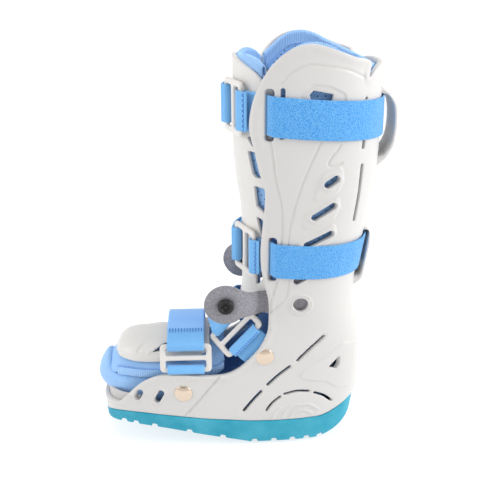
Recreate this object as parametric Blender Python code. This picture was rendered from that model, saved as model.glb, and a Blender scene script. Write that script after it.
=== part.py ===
"""Air walker boot: a rigid shell boot with straps, liner and rocker sole.

Lengths in the tables are millimetres, in a side-view frame: x runs from toe
(negative) to heel, z up from the floor, y across. Everything is made in metres
and centred on its own footprint at the end.
"""
import math

import bmesh
import bpy
from mathutils import Vector

MM = 0.001

# Driving sizes, mm
WALL = 3.0              # moulded shell thickness
PANEL = 2.6             # shin and toe panel thickness
PAD = 5.0               # padded liner thickness
FIT = 0.4               # clearance between pieces that touch in use
BAND = 1.8              # strap thickness
BAND_W = 30.0           # strap width
CELL = 2.2              # air cell thickness
SLIDE_T = 2.8           # strap slide thickness
BAR = 3.2               # strap slide bar width
LOOP_R = 3.4            # radius of a strap round a slide bar, to its middle
RIVET_R = 7.9
RIVET_RISE = 1.9
STEM_R = 2.4
DISC_R = 17.8
VALVE_R = 6.6
GROOVE_DEEP = 2.4
GROOVE_WIDE = 3.4
SOLE_FLARE = 0.8
RING_POINTS = 24         # points round the shell, liners and panel
ROUND_POINTS = 10        # points round rivets and valves

PANEL_IN = WALL + BAND + 2.0 * FIT + 0.6
TONGUE_IN = PANEL_IN + PANEL + 0.6
STRAP_IN = WALL + FIT + 0.5 * BAND
STRAP_OUT = -(2.0 * FIT + 0.5 * BAND)
CELL_IN = WALL + 2.0 * FIT + 0.5 * CELL
LINER_LOW_IN = WALL + CELL + 3.5 * FIT
LINER_TOP_IN = WALL + 1.5 * FIT
FOOT_IN = WALL + BAND + 1.6

# Shell envelope: z, front, back, half width, squareness
ENVELOPE = [
    (0, -133.0, 91.0, 41.5, 3.2),
    (23, -133.0, 94.5, 42.0, 3.2),
    (40, -133.0, 97.0, 42.0, 3.2),
    (64, -130.0, 98.5, 41.2, 3.2),
    (86, -112.0, 98.5, 40.5, 3.1),
    (104, -76.0, 96.0, 40.5, 2.8),
    (128, -16.0, 92.0, 41.0, 2.4),
    (152, -13.0, 91.0, 42.0, 2.3),
    (184, -12.6, 94.5, 43.7, 2.3),
    (216, -14.0, 99.3, 45.8, 2.3),
    (240, -17.5, 102.4, 47.5, 2.3),
    (268, -19.8, 103.8, 49.0, 2.3),
    (300, -20.2, 103.4, 50.0, 2.3),
    (330, -19.8, 101.5, 50.0, 2.3),
    (366, -20.0, 100.0, 50.0, 2.3),
]

# Side outline of the shell, front edge down from the rim to the toe: x, z
SHELL_FRONT = [
    (14, 337), (7, 326), (1, 312), (-2, 297), (-2, 288), (2, 271), (6, 254),
    (9.5, 243), (10, 232), (8, 205), (7, 187), (8, 171), (11, 157), (13.6, 144),
    (14, 127), (13, 116), (10, 107), (6, 99), (-2, 89), (-10, 81), (-19, 75.5),
    (-27, 73.4), (-43, 73), (-57, 74), (-73, 74), (-86, 71), (-97, 65),
    (-106, 56), (-113, 48), (-118, 41.4), (-140, 41),
]

# Side outline of the shell's rim, from the back of the leg to the front: x, z
SHELL_RIM = [
    (112, 336), (97, 334), (91, 330.5), (86.4, 325.5), (85.6, 330), (87.5, 336),
    (84, 339), (74, 342), (63, 346), (53, 349.5), (43, 351.5), (33, 350.3),
    (23, 345.5),
]

# Sole: x, underside z, top z
SOLE = [
    (-133.4, 19.0, 23.5), (-130, 17.6, 27.5), (-124, 18.4, 31.0),
    (-112, 19.6, 33.6), (-98, 19.0, 34.2), (-79, 16.8, 33.0), (-59, 12.8, 31.0),
    (-40, 8.4, 28.6), (-20, 4.2, 27.0), (-6, 1.2, 25.8), (0, 0.0, 25.4),
    (30, 0.0, 25.0), (60, 0.0, 25.4), (66, 1.6, 26.6), (75, 5.2, 30.2),
    (84, 11.2, 34.6), (90, 18.4, 37.8), (93.6, 27.0, 39.5),
]
SOLE_FLAT = (0.0, 60.0)
GROOVES = [-115, -104, -87, -56, -26, 2.5, 20, 37, 50, 62]
GROOVE_LONG = 15.0

# Vents through both shell walls: x and z of each end, width
CAPSULES = [
    (57.5, 247.5, 63.5, 251.5, 5.8), (48.5, 220.5, 62.5, 229.5, 5.0),
    (43.5, 196.5, 61.5, 205.5, 5.0), (36.5, 163.5, 50.0, 173.0, 5.0),
    (85.0, 274.0, 85.4, 281.0, 1.8), (82.0, 214.0, 85.2, 260.0, 1.8),
    (62.0, 108.0, 50.5, 97.5, 2.1), (50.5, 97.5, 40.0, 86.0, 2.1),
    (33.0, 80.0, 14.0, 63.0, 2.1), (8.0, 56.0, -7.0, 37.0, 2.1),
    (25.0, 50.0, 18.0, 44.0, 2.0), (18.0, 44.0, 13.0, 36.5, 2.0),
    (29.0, 52.6, 40.0, 54.6, 2.0), (40.0, 54.6, 51.0, 53.8, 2.0),
    (56.0, 51.6, 65.0, 47.0, 2.0), (65.0, 47.0, 72.0, 40.6, 2.0),
    (-98.2, 55.8, -101.0, 50.4, 4.6), (-79.6, 56.0, -83.6, 48.8, 4.6),
    (85.0, 311.0, 85.2, 311.2, 1.9), (21.4, 285.0, 21.6, 319.0, 3.8),
]
VENT_POLYGONS = [
    [(41, 316), (44, 319), (59, 316), (57, 306), (44, 306)],
    [(76.4, 85.4), (76.6, 78), (74.2, 74.4), (68, 77)],
]
RING = (40.4, 141.3, 6.3)
RIVETS = [(11.0, 91.0), (-60.0, 56.0)]

# Openings of the shin panel, both sides
PANEL_SLOTS = [
    [(-4, 281.5), (7, 280), (7, 272), (0.5, 274)],
    [(-3, 270), (8, 268.5), (12, 249), (3.4, 249), (0.8, 252)],
    [(2, 242), (12, 240), (12, 218), (4, 225)],
    [(4, 216), (12, 211), (12, 197), (8, 199)],
    [(4, 167), (9, 169), (9, 160), (4, 152)],
]
PANEL_TOP = [(-30, 343), (-16, 341), (-10, 337), (-2, 332), (3, 328.5),
             (8, 323), (15.5, 318)]
PANEL_BACK_X = 15.5
PANEL_LOW = 134.0

# Toe panel and vamp: x, crown z, half width, edge z
TOE_PANEL = [
    (-120.5, 86.4, 9.0, 83.4), (-117, 90.6, 17.0, 84.0), (-110, 96.0, 23.0, 84.0),
    (-102, 98.8, 26.0, 83.0), (-88, 100.4, 27.5, 82.2), (-69, 101.4, 28.0, 82.4),
    (-54, 102.6, 28.0, 85.0), (-43, 104.0, 27.2, 90.0), (-36.5, 105.2, 26.0, 94.0),
]
VAMP = [
    (-121.6, 77.0, 10.0, 68.0), (-117, 82.6, 18.0, 66.9), (-110, 91.6, 24.0, 66.9),
    (-100, 95.2, 27.6, 66.9), (-88, 97.0, 29.6, 66.9), (-69, 98.0, 30.4, 66.9),
    (-54, 99.3, 30.4, 67.2), (-43, 100.9, 30.0, 67.6), (-31, 102.2, 29.4, 69.0),
    (-22, 107.0, 28.0, 74.0),
]

# Foot liner outside: z, front, half width, squareness
FOOT_LINER = [
    (38.6, -116.0, 31.0, 3.0), (40.4, -121.0, 33.2, 3.0), (42.2, -126.0, 33.8, 2.8),
    (46, -134.0, 33.8, 2.55), (52, -137.6, 33.6, 2.45), (58, -138.0, 33.0, 2.4),
    (66, -136.4, 32.4, 2.4), (74, -132.4, 32.2, 2.4), (80, -127.6, 32.2, 2.4),
    (86, -121.0, 32.2, 2.4), (97, -104.0, 32.2, 2.4), (109, -60.0, 32.2, 2.4),
]
FOOT_LINER_TOP = [
    (-150, 88.0), (-126.4, 88.0), (-124.2, 66.2), (-60, 66.2), (-40, 66.2),
    (-26, 68.0), (-14, 74.0), (-2, 84.0), (8, 95.0), (18, 104.0), (26, 108.4),
    (130, 108.4),
]

# Leg straps: name, middle z at x = 0, fall per mm of x, start of the slot
LEG_STRAPS = [
    ("upper", 301.0, 0.066, 8.6),
    ("lower", 182.6, 0.035, 12.8),
]
SLOT_LONG = 6.9
SLOT_TALL = 39.0

# Strap keepers on the back of the shell: distance behind the shell, z
KEEPER_HALF = 15.0
KEEPERS = [
    ([(-2.3, 315), (2.6, 312.6), (7.4, 307.5), (11.0, 302), (12.4, 291),
      (12.2, 279), (11.0, 270), (8.0, 262.6), (4.0, 256.6), (-2.3, 250.5)],
     [(-2.9, 309.6), (3.6, 309.2), (7.2, 303.6), (8.9, 297.5), (9.6, 290),
      (9.4, 280), (8.2, 272), (5.4, 265.6), (2.6, 262), (-2.9, 260)]),
    ([(-2.3, 201.5), (1.6, 198.6), (4.8, 193), (6.3, 187), (6.7, 177),
      (6.7, 168), (6.2, 158), (4.6, 151), (-2.3, 144.5)],
     [(-2.9, 196.6), (2.9, 196.2), (3.6, 188), (4.0, 177), (4.0, 168),
      (3.6, 158.6), (2.2, 155.6), (-2.9, 154.6)]),
]

# Air cell plates, along x: x, middle z, half height, distance inside the
# envelope (the tab in front of the shell is given by its own y)
CELL_ROWS = [(14.5, 142.2, 10.6), (22, 142.2, 12.0), (28, 142.4, 20.0),
             (36, 142.6, 25.0), (48, 142.6, 26.4), (58, 142.4, 23.0),
             (64, 142.2, 15.0), (66.5, 142.0, 7.0)]
NECK_HALF = 10.8
NEAR_TAB = {"disc": (-22.0, 145.0), "y": [(-40, 46.6), (-30, 46.1), (-14, 45.9),
                                          (-6, 43.4), (2, 37.4), (7.5, 32.8), (11.4, 32.2)]}
FAR_TAB = {"disc": (-5.4, 148.6), "y": [(-24, 41.0), (-14, 39.1), (2.6, 38.9),
                                        (7.5, 33.8), (11.4, 32.2)]}

# Slides: centre, direction of the bars, direction across them, gap between
# the outer bars' middles, width between the side pieces
TOE_X = -57.0
TOE_BARS = ((-37.8, 78.4), (-31.6, 98.2))
ANKLE_ORIGIN = (-14.0, 112.0)
ANKLE_U = (0.66, 0.7513)
ANKLE_BARS = ((10.4, -34.8), (-9.2, -23.6))

COLOURS = {
    "shell": ((0.78, 0.77, 0.75), 0.38),
    "panel": ((0.80, 0.79, 0.77), 0.36),
    "sole": ((0.05, 0.45, 0.60), 0.55),
    "liner": ((0.20, 0.42, 0.80), 0.90),
    "strap": ((0.14, 0.44, 0.88), 0.92),
    "tab": ((0.33, 0.32, 0.35), 0.70),
    "valve": ((0.01, 0.01, 0.01), 0.45),
    "slide": ((0.74, 0.72, 0.69), 0.35),
    "rivet": ((0.84, 0.74, 0.60), 0.28),
}


def clear_scene():
    """Remove every object and mesh that the open file holds."""
    for obj in list(bpy.data.objects):
        bpy.data.objects.remove(obj, do_unlink=True)
    for mesh in list(bpy.data.meshes):
        bpy.data.meshes.remove(mesh)


def finish(name, metallic=0.0):
    """Return the named plastic, rubber, cloth or metal finish."""
    mat = bpy.data.materials.get(name)
    if mat is None:
        mat = bpy.data.materials.new(name)
        mat.use_nodes = True
        colour, rough = COLOURS[name]
        shader = mat.node_tree.nodes["Principled BSDF"]
        shader.inputs["Base Color"].default_value = (*colour, 1.0)
        shader.inputs["Roughness"].default_value = rough
        shader.inputs["Metallic"].default_value = metallic
        mat.diffuse_color = (*colour, 1.0)
    return mat


def row_at(table, x):
    """Smoothly interpolate a table of rows on its first column."""
    keys = [row[0] for row in table]
    if x <= keys[0]:
        return tuple(table[0][1:])
    if x >= keys[-1]:
        return tuple(table[-1][1:])
    i = max(k for k in range(len(keys) - 1) if keys[k] <= x)
    h = keys[i + 1] - keys[i]
    t = (x - keys[i]) / h
    out = []
    for c in range(1, len(table[0])):
        def slope(k):
            if k <= 0 or k >= len(keys) - 1:
                return 0.0
            left = (table[k][c] - table[k - 1][c]) / (keys[k] - keys[k - 1])
            right = (table[k + 1][c] - table[k][c]) / (keys[k + 1] - keys[k])
            if left * right <= 0.0:
                return 0.0
            return 2.0 * left * right / (left + right)
        p0 = table[i][c]
        p1 = table[i + 1][c]
        m0 = slope(i) * h
        m1 = slope(i + 1) * h
        out.append((2 * t**3 - 3 * t**2 + 1) * p0 + (t**3 - 2 * t**2 + t) * m0
                   + (-2 * t**3 + 3 * t**2) * p1 + (t**3 - t**2) * m1)
    return tuple(out)


def half_at(z, x, inset=0.0):
    """Half width of the envelope at (x, z), moved inwards by inset."""
    front, back, half, square = row_at(ENVELOPE, z)
    a = 0.5 * (back - front) - inset
    t = min(abs(x - 0.5 * (front + back)) / a, 1.0)
    return (half - inset) * (1.0 - t**square) ** (1.0 / square)


def oval(front, back, half, square, count=RING_POINTS):
    """Superellipse ring as (x, y), starting at the heel."""
    ring = []
    for k in range(count):
        ang = 2.0 * math.pi * k / count
        c = math.cos(ang)
        s = math.sin(ang)
        x = math.copysign(abs(c) ** (2.0 / square), c)
        y = math.copysign(abs(s) ** (2.0 / square), s)
        ring.append((0.5 * (front + back) + 0.5 * (back - front) * x, half * y))
    return ring


def envelope_rings(levels, inset_at):
    """Rings (x, y, z) of the envelope moved inwards by inset_at(z)."""
    rings = []
    for z in levels:
        front, back, half, square = row_at(ENVELOPE, z)
        d = inset_at(z)
        rings.append([(x, y, z) for x, y in
                      oval(front + d, back - d, half - d, square)])
    return rings


def steps(start, stop, count):
    """Evenly spaced values from start to stop."""
    return [start + (stop - start) * k / (count - 1) for k in range(count)]


def to_object(name, bm, mat=None, smooth=True):
    """Make a linked object from a bmesh in millimetres."""
    bmesh.ops.remove_doubles(bm, verts=bm.verts, dist=0.001)
    bmesh.ops.recalc_face_normals(bm, faces=bm.faces)
    for vert in bm.verts:
        vert.co *= MM
    mesh = bpy.data.meshes.new(name)
    bm.to_mesh(mesh)
    bm.free()
    for face in mesh.polygons:
        face.use_smooth = smooth
    obj = bpy.data.objects.new(name, mesh)
    bpy.context.scene.collection.objects.link(obj)
    if mat:
        mesh.materials.append(finish(mat, 1.0 if mat == "rivet" else 0.0))
    return obj


def loft(name, rings, mat=None):
    """Closed solid through rings with the same number of points."""
    bm = bmesh.new()
    loops = [[bm.verts.new(p) for p in ring] for ring in rings]
    count = len(loops[0])
    for low, high in zip(loops, loops[1:]):
        for k in range(count):
            j = (k + 1) % count
            bm.faces.new((low[k], low[j], high[j], high[k]))
    bm.faces.new(list(reversed(loops[0])))
    bm.faces.new(loops[-1])
    return to_object(name, bm, mat)


def prism(name, outline, y0=-70.0, y1=70.0):
    """Side-view outline (x, z) extruded across the boot."""
    return loft(name, [[(x, y0, z) for x, z in outline],
                       [(x, y1, z) for x, z in outline]])


def boolean(target, cutter, operation):
    """Apply an exact boolean and remove the cutter."""
    mod = target.modifiers.new("shape", "BOOLEAN")
    mod.operation = operation
    mod.solver = "EXACT"
    mod.object = cutter
    graph = bpy.context.evaluated_depsgraph_get()
    result = bpy.data.meshes.new_from_object(target.evaluated_get(graph))
    target.modifiers.clear()
    old = target.data
    target.data = result
    bpy.data.meshes.remove(old)
    spent = cutter.data
    bpy.data.objects.remove(cutter, do_unlink=True)
    bpy.data.meshes.remove(spent)
    return target


def tidy(obj, angle=35.0):
    """Merge slivers left by the booleans and shade by angle."""
    bm = bmesh.new()
    bm.from_mesh(obj.data)
    bmesh.ops.remove_doubles(bm, verts=bm.verts, dist=0.02 * MM)
    bmesh.ops.dissolve_degenerate(bm, edges=bm.edges, dist=0.01 * MM)
    bmesh.ops.triangulate(bm, faces=bm.faces)
    bmesh.ops.recalc_face_normals(bm, faces=bm.faces)
    bm.to_mesh(obj.data)
    bm.free()
    obj.data.shade_smooth()
    obj.data.set_sharp_from_angle(angle=math.radians(angle))
    return obj


def capsule(x0, z0, x1, z1, width):
    """Outline of a round-ended slot between two points."""
    ends = 4 if width > 4.0 else 2
    ang = math.atan2(z1 - z0, x1 - x0)
    r = 0.5 * width
    out = []
    for k in range(ends + 1):
        a = ang - 0.5 * math.pi + math.pi * k / ends
        out.append((x1 + r * math.cos(a), z1 + r * math.sin(a)))
    for k in range(ends + 1):
        a = ang + 0.5 * math.pi + math.pi * k / ends
        out.append((x0 + r * math.cos(a), z0 + r * math.sin(a)))
    return out


def circle(x, z, r, count=ROUND_POINTS):
    """Outline of a round hole."""
    return [(x + r * math.cos(2 * math.pi * k / count),
             z + r * math.sin(2 * math.pi * k / count)) for k in range(count)]


def joined_prisms(name, outlines, y0=-70.0, y1=70.0):
    """Several separate prisms as one cutter."""
    bm = bmesh.new()
    for outline in outlines:
        near = [bm.verts.new((x, y0, z)) for x, z in outline]
        far = [bm.verts.new((x, y1, z)) for x, z in outline]
        count = len(near)
        bm.faces.new(near)
        bm.faces.new(list(reversed(far)))
        for k in range(count):
            j = (k + 1) % count
            bm.faces.new((near[k], far[k], far[j], near[j]))
    return to_object(name, bm)


def sole_line(column, lift=0.0):
    """Side-view line of the sole's underside (0) or top (1)."""
    return [(row[0], row[1 + column] + lift) for row in SOLE]


def make_shell():
    """Shell: envelope between outer and inner skins, trimmed and slotted."""
    levels = steps(14, 360, 14)
    outer = loft("shell", envelope_rings(levels, lambda z: 0.0), "shell")
    floor = sole_line(1, FIT)
    under = [(-150, floor[0][1])] + floor + [(130, floor[-1][1])]
    outline = under + [(130, 336)] + SHELL_RIM + SHELL_FRONT + [(-150, 41)]
    boolean(outer, prism("trim", outline), "INTERSECT")
    inner = loft("inner", envelope_rings(levels, lambda z: WALL))
    top_of_floor = sole_line(1, FIT + WALL)
    hollow = ([(-150, top_of_floor[0][1])] + top_of_floor
              + [(130, top_of_floor[-1][1]), (130, 400), (-150, 400)])
    boolean(inner, prism("trim", hollow), "INTERSECT")
    boolean(outer, inner, "DIFFERENCE")
    for back_line, window in KEEPERS:
        outline = []
        for off, z in back_line:
            outline.append((row_at(ENVELOPE, z)[1] + off, z))
        for off, z in reversed(window):
            outline.append((row_at(ENVELOPE, z)[1] + off, z))
        boolean(outer, prism("keeper", outline, -KEEPER_HALF, KEEPER_HALF), "UNION")
    holes = [capsule(*row) for row in CAPSULES] + VENT_POLYGONS
    holes.append(circle(*RING))
    holes += [circle(x, z, STEM_R + FIT) for x, z in RIVETS]
    for _, middle, fall, start in LEG_STRAPS:
        z = middle - fall * start
        holes.append([(start, z - 0.5 * SLOT_TALL), (start + SLOT_LONG, z - 0.5 * SLOT_TALL),
                      (start + SLOT_LONG, z + 0.5 * SLOT_TALL), (start, z + 0.5 * SLOT_TALL)])
    first = holes[0::2]
    second = holes[1::2]
    boolean(outer, joined_prisms("holes", first), "DIFFERENCE")
    boolean(outer, joined_prisms("holes", second), "DIFFERENCE")
    return tidy(outer)


def make_shin_panel():
    """Shin panel: front part of a ring inside the shell, with side slots."""
    levels = steps(PANEL_LOW, 345, 7)
    panel = loft("shin_panel", envelope_rings(levels, lambda z: PANEL_IN), "panel")
    wide = [PANEL_LOW - 5] + levels[1:-1] + [350]
    boolean(panel, loft("in", envelope_rings(wide, lambda z: PANEL_IN + PANEL)),
            "DIFFERENCE")
    outline = PANEL_TOP + [(PANEL_BACK_X, PANEL_LOW - 8), (-30, PANEL_LOW - 8)]
    boolean(panel, prism("trim", outline), "INTERSECT")
    boolean(panel, joined_prisms("holes", PANEL_SLOTS), "DIFFERENCE")
    return tidy(panel)


def make_tongue():
    """Padded tongue behind the shin panel."""
    top = 348.0
    tongue = loft("shin_tongue", envelope_rings(steps(136, top, 6),
                                                lambda z: TONGUE_IN), "liner")
    boolean(tongue, loft("in", envelope_rings([130] + steps(136, top, 6)[1:-1] + [355],
                                              lambda z: TONGUE_IN + PAD)), "DIFFERENCE")
    outline = [(-30, 340), (-12, 342), (-5, 346), (2, 343.5), (9, 338), (9, 128), (-30, 128)]
    boolean(tongue, prism("trim", outline), "INTERSECT")
    return tidy(tongue)


def leg_inset(z):
    """Outside of the leg liner: close to the shell above, clear of the cell below."""
    t = min(max((z - 178.0) / 32.0, 0.0), 1.0)
    t = t * t * (3.0 - 2.0 * t)
    return LINER_LOW_IN + (LINER_TOP_IN - LINER_LOW_IN) * t


def make_leg_liner():
    """Padded sleeve round the calf, open at the front."""
    liner = loft("leg_liner", envelope_rings(steps(109, 362, 13), leg_inset), "liner")
    boolean(liner, loft("in", envelope_rings([104] + steps(109, 362, 13)[1:-1] + [370],
                                             lambda z: leg_inset(z) + PAD)), "DIFFERENCE")
    front = PANEL_BACK_X + 1.0
    outline = [(front, 104), (front, 322), (10.5, 327), (10.5, 341), (18, 348), (27, 355),
               (36, 359), (45, 360), (55, 358), (66, 353), (85, 345), (98, 340),
               (110, 338), (110, 104)]
    boolean(liner, prism("trim", outline), "INTERSECT")
    return tidy(liner)


def make_foot_liner():
    """Padded trough round the foot, bulging over the low toe wall."""
    def rings(levels, inset):
        out = []
        for z in levels:
            front, half, square = row_at(FOOT_LINER, z)
            back = row_at(ENVELOPE, z)[1] - FOOT_IN
            out.append([(x, y, z) for x, y in
                        oval(front + inset, back - inset, half - inset, square)])
        return out
    lift = FIT + WALL + FIT
    liner = loft("foot_liner", rings(steps(26, 108, 11), 0.0), "liner")
    floor = sole_line(1, lift)
    under = [(-150, 41.6), (-124, 41.6), (-118, 39.0), (-104, 37.9 + FIT)] + floor[5:]
    outline = under + [(130, floor[-1][1])] + list(reversed(FOOT_LINER_TOP))
    boolean(liner, prism("trim", outline), "INTERSECT")
    inner = loft("in", rings(steps(26, 108, 11)[:-1] + [116], PAD))
    sock = [(-150, 46.8), (-112, 46.0), (-98, 43.2)] + [(x, z + PAD) for x, z in floor[5:]]
    hollow = sock + [(130, floor[-1][1] + PAD), (130, 130), (-150, 130)]
    boolean(inner, prism("trim", hollow), "INTERSECT")
    boolean(liner, inner, "DIFFERENCE")
    return tidy(liner)


def arch(name, table, thick, mat, count=9, stations=11, square=2.4):
    """Arched plate over the foot, lofted along x from table rows."""
    rings = []
    for x in steps(table[0][0], table[-1][0], stations):
        crown, half, edge = row_at(table, x)
        outer = []
        inner = []
        for k in range(count):
            ang = math.pi * k / (count - 1)
            c = math.cos(ang)
            s = math.sin(ang)
            y = math.copysign(abs(c) ** (2.0 / square), c)
            h = abs(s) ** (2.0 / square)
            outer.append((x, half * y, edge + (crown - edge) * h))
            inner.append((x, (half - thick) * y, edge + (crown - thick - edge) * h))
        rings.append(outer + list(reversed(inner)))
    return tidy(loft(name, rings, mat))


def make_sole():
    """Rocker sole, lofted along x, with cross grooves in from both sides."""
    xs = set(steps(-132.6, 93.0, 16))
    for g in GROOVES:
        for dx in (-0.5, -0.36, 0.36, 0.5):
            xs.add(g + dx * GROOVE_WIDE)
    xs.update(SOLE_FLAT)
    rings = []
    for x in sorted(xs):
        low, high = row_at(SOLE, x)
        if SOLE_FLAT[0] <= x <= SOLE_FLAT[1]:
            low = 0.0
        half = max(half_at(23.0, x, 0.0) + SOLE_FLARE, 6.0)
        cut = 0.0
        for g in GROOVES:
            if abs(x - g) <= 0.37 * GROOVE_WIDE:
                cut = GROOVE_DEEP
        cut = min(cut, 0.5 * (high - low))
        foot = half * 0.93
        step_in = max(foot - GROOVE_LONG, 0.35 * foot)
        side = min(5.0, 0.5 * (high - low))
        right = [(x, step_in, low), (x, step_in + 0.6, low + cut), (x, foot, low + cut),
                 (x, half * 0.985, low + side + 0.3 * cut), (x, half, high)]
        left = [(x, -y, z) for x, y, z in reversed(right)]
        rings.append(right + left)
    return tidy(loft("outsole", rings, "sole"))


def ribbon(name, path, origin, e1, e2, across, width, shift=None, holes=(),
           top_path=None):
    """Strap of constant thickness swept along a planar path.

    path holds (s, t) in the plane of e1 and e2; shift(s) moves the strap
    along its own width. top_path, if given, is the same path at the upper
    edge, for a strap that lies on a tapering wall.
    """
    e1 = Vector(e1)
    e2 = Vector(e2)
    across = Vector(across)
    origin = Vector(origin)
    cuts = [2 if math.hypot(b[0] - a[0], b[1] - a[1]) > 6.5 else 1
            for a, b in zip(path, path[1:])]
    edges = []
    for line in (path, top_path or path):
        pts = smooth(line, cuts)
        edge = []
        for k, (s, t) in enumerate(pts):
            a = pts[max(k - 1, 0)]
            b = pts[min(k + 1, len(pts) - 1)]
            ds = b[0] - a[0]
            dt = b[1] - a[1]
            size = math.hypot(ds, dt)
            normal = e1 * (-dt / size) + e2 * (ds / size)
            mid = origin + e1 * s + e2 * t
            if shift:
                mid = mid + across * shift(s)
            edge.append((mid, normal))
        edges.append(edge)
    rings = []
    for low, high in zip(*edges):
        ring = []
        for w, n in ((-1, -1), (1, -1), (1, 1), (-1, 1)):
            mid, normal = low if w < 0 else high
            ring.append(tuple(mid + across * (0.5 * width * w) + normal * (0.5 * BAND * n)))
        rings.append(ring)
    obj = loft(name, rings, "strap")
    for x, z, y0, y1 in holes:
        boolean(obj, prism("hole", circle(x, z, STEM_R + 2.0 * FIT), y0, y1), "DIFFERENCE")
    return tidy(obj)


def smooth(points, cuts):
    """Catmull-Rom through hand-placed points, with cuts steps in each span."""
    out = []
    for k in range(len(points) - 1):
        p0 = points[max(k - 1, 0)]
        p1 = points[k]
        p2 = points[k + 1]
        p3 = points[min(k + 2, len(points) - 1)]
        for j in range(cuts[k]):
            t = j / cuts[k]
            out.append(tuple(0.5 * ((2 * p1[c]) + (p2[c] - p0[c]) * t
                             + (2 * p0[c] - 5 * p1[c] + 4 * p2[c] - p3[c]) * t**2
                             + (3 * p1[c] - p0[c] - 3 * p2[c] + p3[c]) * t**3)
                             for c in (0, 1)))
    out.append(points[-1])
    return out


def hairpin(bar, away, side, count=5, lead=1.6):
    """Half turn round a bar.

    away points from the bar to the strap's run, side to where the turn starts.
    """
    pts = [(bar[0] + LOOP_R * side[0] + lead * away[0],
            bar[1] + LOOP_R * side[1] + lead * away[1])]
    for k in range(count):
        a = math.pi * k / (count - 1)
        c = math.cos(a)
        s = math.sin(a)
        pts.append((bar[0] + LOOP_R * (c * side[0] - s * away[0]),
                    bar[1] + LOOP_R * (c * side[1] - s * away[1])))
    pts.append((bar[0] - LOOP_R * side[0] + lead * away[0],
                bar[1] - LOOP_R * side[1] + lead * away[1]))
    return pts


def front_frame(z, y):
    """Point and outward normal of the shin panel's outside at height z."""
    front, back, half, square = row_at(ENVELOPE, z)
    a = 0.5 * (back - front) - PANEL_IN
    b = half - PANEL_IN
    mid = 0.5 * (front + back)
    def x_of(v):
        return mid - a * (1.0 - min(abs(v) / b, 1.0) ** square) ** (1.0 / square)
    x = x_of(y)
    dx = (x_of(y + 0.5) - x_of(y - 0.5))
    size = math.hypot(dx, 1.0)
    return (x, y), (-1.0 / size, dx / size)


def slide_plate(name, centre, bars, across, normal, gap, clear):
    """Slide with two side pieces and three bars, from its local directions."""
    centre = Vector(centre)
    bars = Vector(bars).normalized()
    across = Vector(across).normalized()
    normal = Vector(normal).normalized()
    us = [-0.5 * clear - BAR, -0.5 * clear, 0.5 * clear, 0.5 * clear + BAR]
    h = 0.5 * BAR
    g = 0.5 * gap
    vs = [-g - h, -g + h, -h, h, g - h, g + h]
    open_cells = {(1, 1), (1, 3)}
    bm = bmesh.new()
    grid = {}
    for n in (-1, 1):
        for i, u in enumerate(us):
            for j, v in enumerate(vs):
                grid[i, j, n] = bm.verts.new(centre + bars * u + across * v
                                             + normal * (0.5 * SLIDE_T * n))
    cells = [(i, j) for i in range(3) for j in range(5) if (i, j) not in open_cells]
    for i, j in cells:
        bm.faces.new([grid[i, j, 1], grid[i + 1, j, 1], grid[i + 1, j + 1, 1],
                      grid[i, j + 1, 1]])
        bm.faces.new([grid[i, j + 1, -1], grid[i + 1, j + 1, -1], grid[i + 1, j, -1],
                      grid[i, j, -1]])
        for (di, dj), (a, b) in {(-1, 0): ((0, 0), (0, 1)), (1, 0): ((1, 0), (1, 1)),
                                 (0, -1): ((0, 0), (1, 0)), (0, 1): ((0, 1), (1, 1))}.items():
            if (i + di, j + dj) not in cells:
                bm.faces.new([grid[i + a[0], j + a[1], -1], grid[i + b[0], j + b[1], -1],
                              grid[i + b[0], j + b[1], 1], grid[i + a[0], j + a[1], 1]])
    return to_object(name, bm, "slide", smooth=False)


def leg_strap_path(z, fall, start, near, far, run, out):
    """Plan path of a leg strap's edge, from the near tail to the far one."""
    def wall(x, inset, side):
        return (x, side * half_at(z - fall * x, x, inset))

    def front(y, off):
        at, nrm = front_frame(z, y)
        return (at[0] + off * nrm[0], at[1] + off * nrm[1])

    inside = STRAP_IN + 0.7
    turn = [(start - 1.0, inside), (start + 1.2, inside - 0.3), (start + 5.6, -0.8),
            (start + 7.9, STRAP_OUT)]
    side_x = [start + 14, 40, 52, 62, 70]
    back_z = z - 90.0 * fall
    wide = row_at(ENVELOPE, back_z)[2] - STRAP_OUT
    path = [wall(near[0] + 3.8, -FIT, -1)]
    path += hairpin(near, run, out)
    path += [wall(start - 5.6, inside, -1)]
    path += [wall(x, d, -1) for x, d in turn]
    path += [wall(x, STRAP_OUT, -1) for x in side_x]
    for share in (-0.86, -0.72, -0.55, -0.36, -0.13, 0.13, 0.36, 0.55, 0.72, 0.86):
        path.append((back_at(back_z, share * wide, STRAP_OUT), share * wide))
    path += [wall(x, STRAP_OUT, 1) for x in reversed(side_x)]
    path += [wall(x, d, 1) for x, d in reversed(turn)]
    path += [wall(start - 6.6, inside, 1)]
    path += [front(y, 0.5 * BAND + 2.0 * FIT) for y in (28.0, 21.0, 14.0)]
    path += hairpin(far, (-run[0], -run[1]), (-out[0], -out[1]))
    path += [front(9.0, 6.0), front(18.0, 4.4), front(25.0, 3.6)]
    return path


def back_at(z, y, inset):
    """x of the back of the envelope at (y, z), moved inwards by inset."""
    front, back, half, square = row_at(ENVELOPE, z)
    t = abs(y) / (half - inset)
    a = 0.5 * (back - front) - inset
    return 0.5 * (front + back) + a * (1.0 - t**square) ** (1.0 / square)


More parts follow.
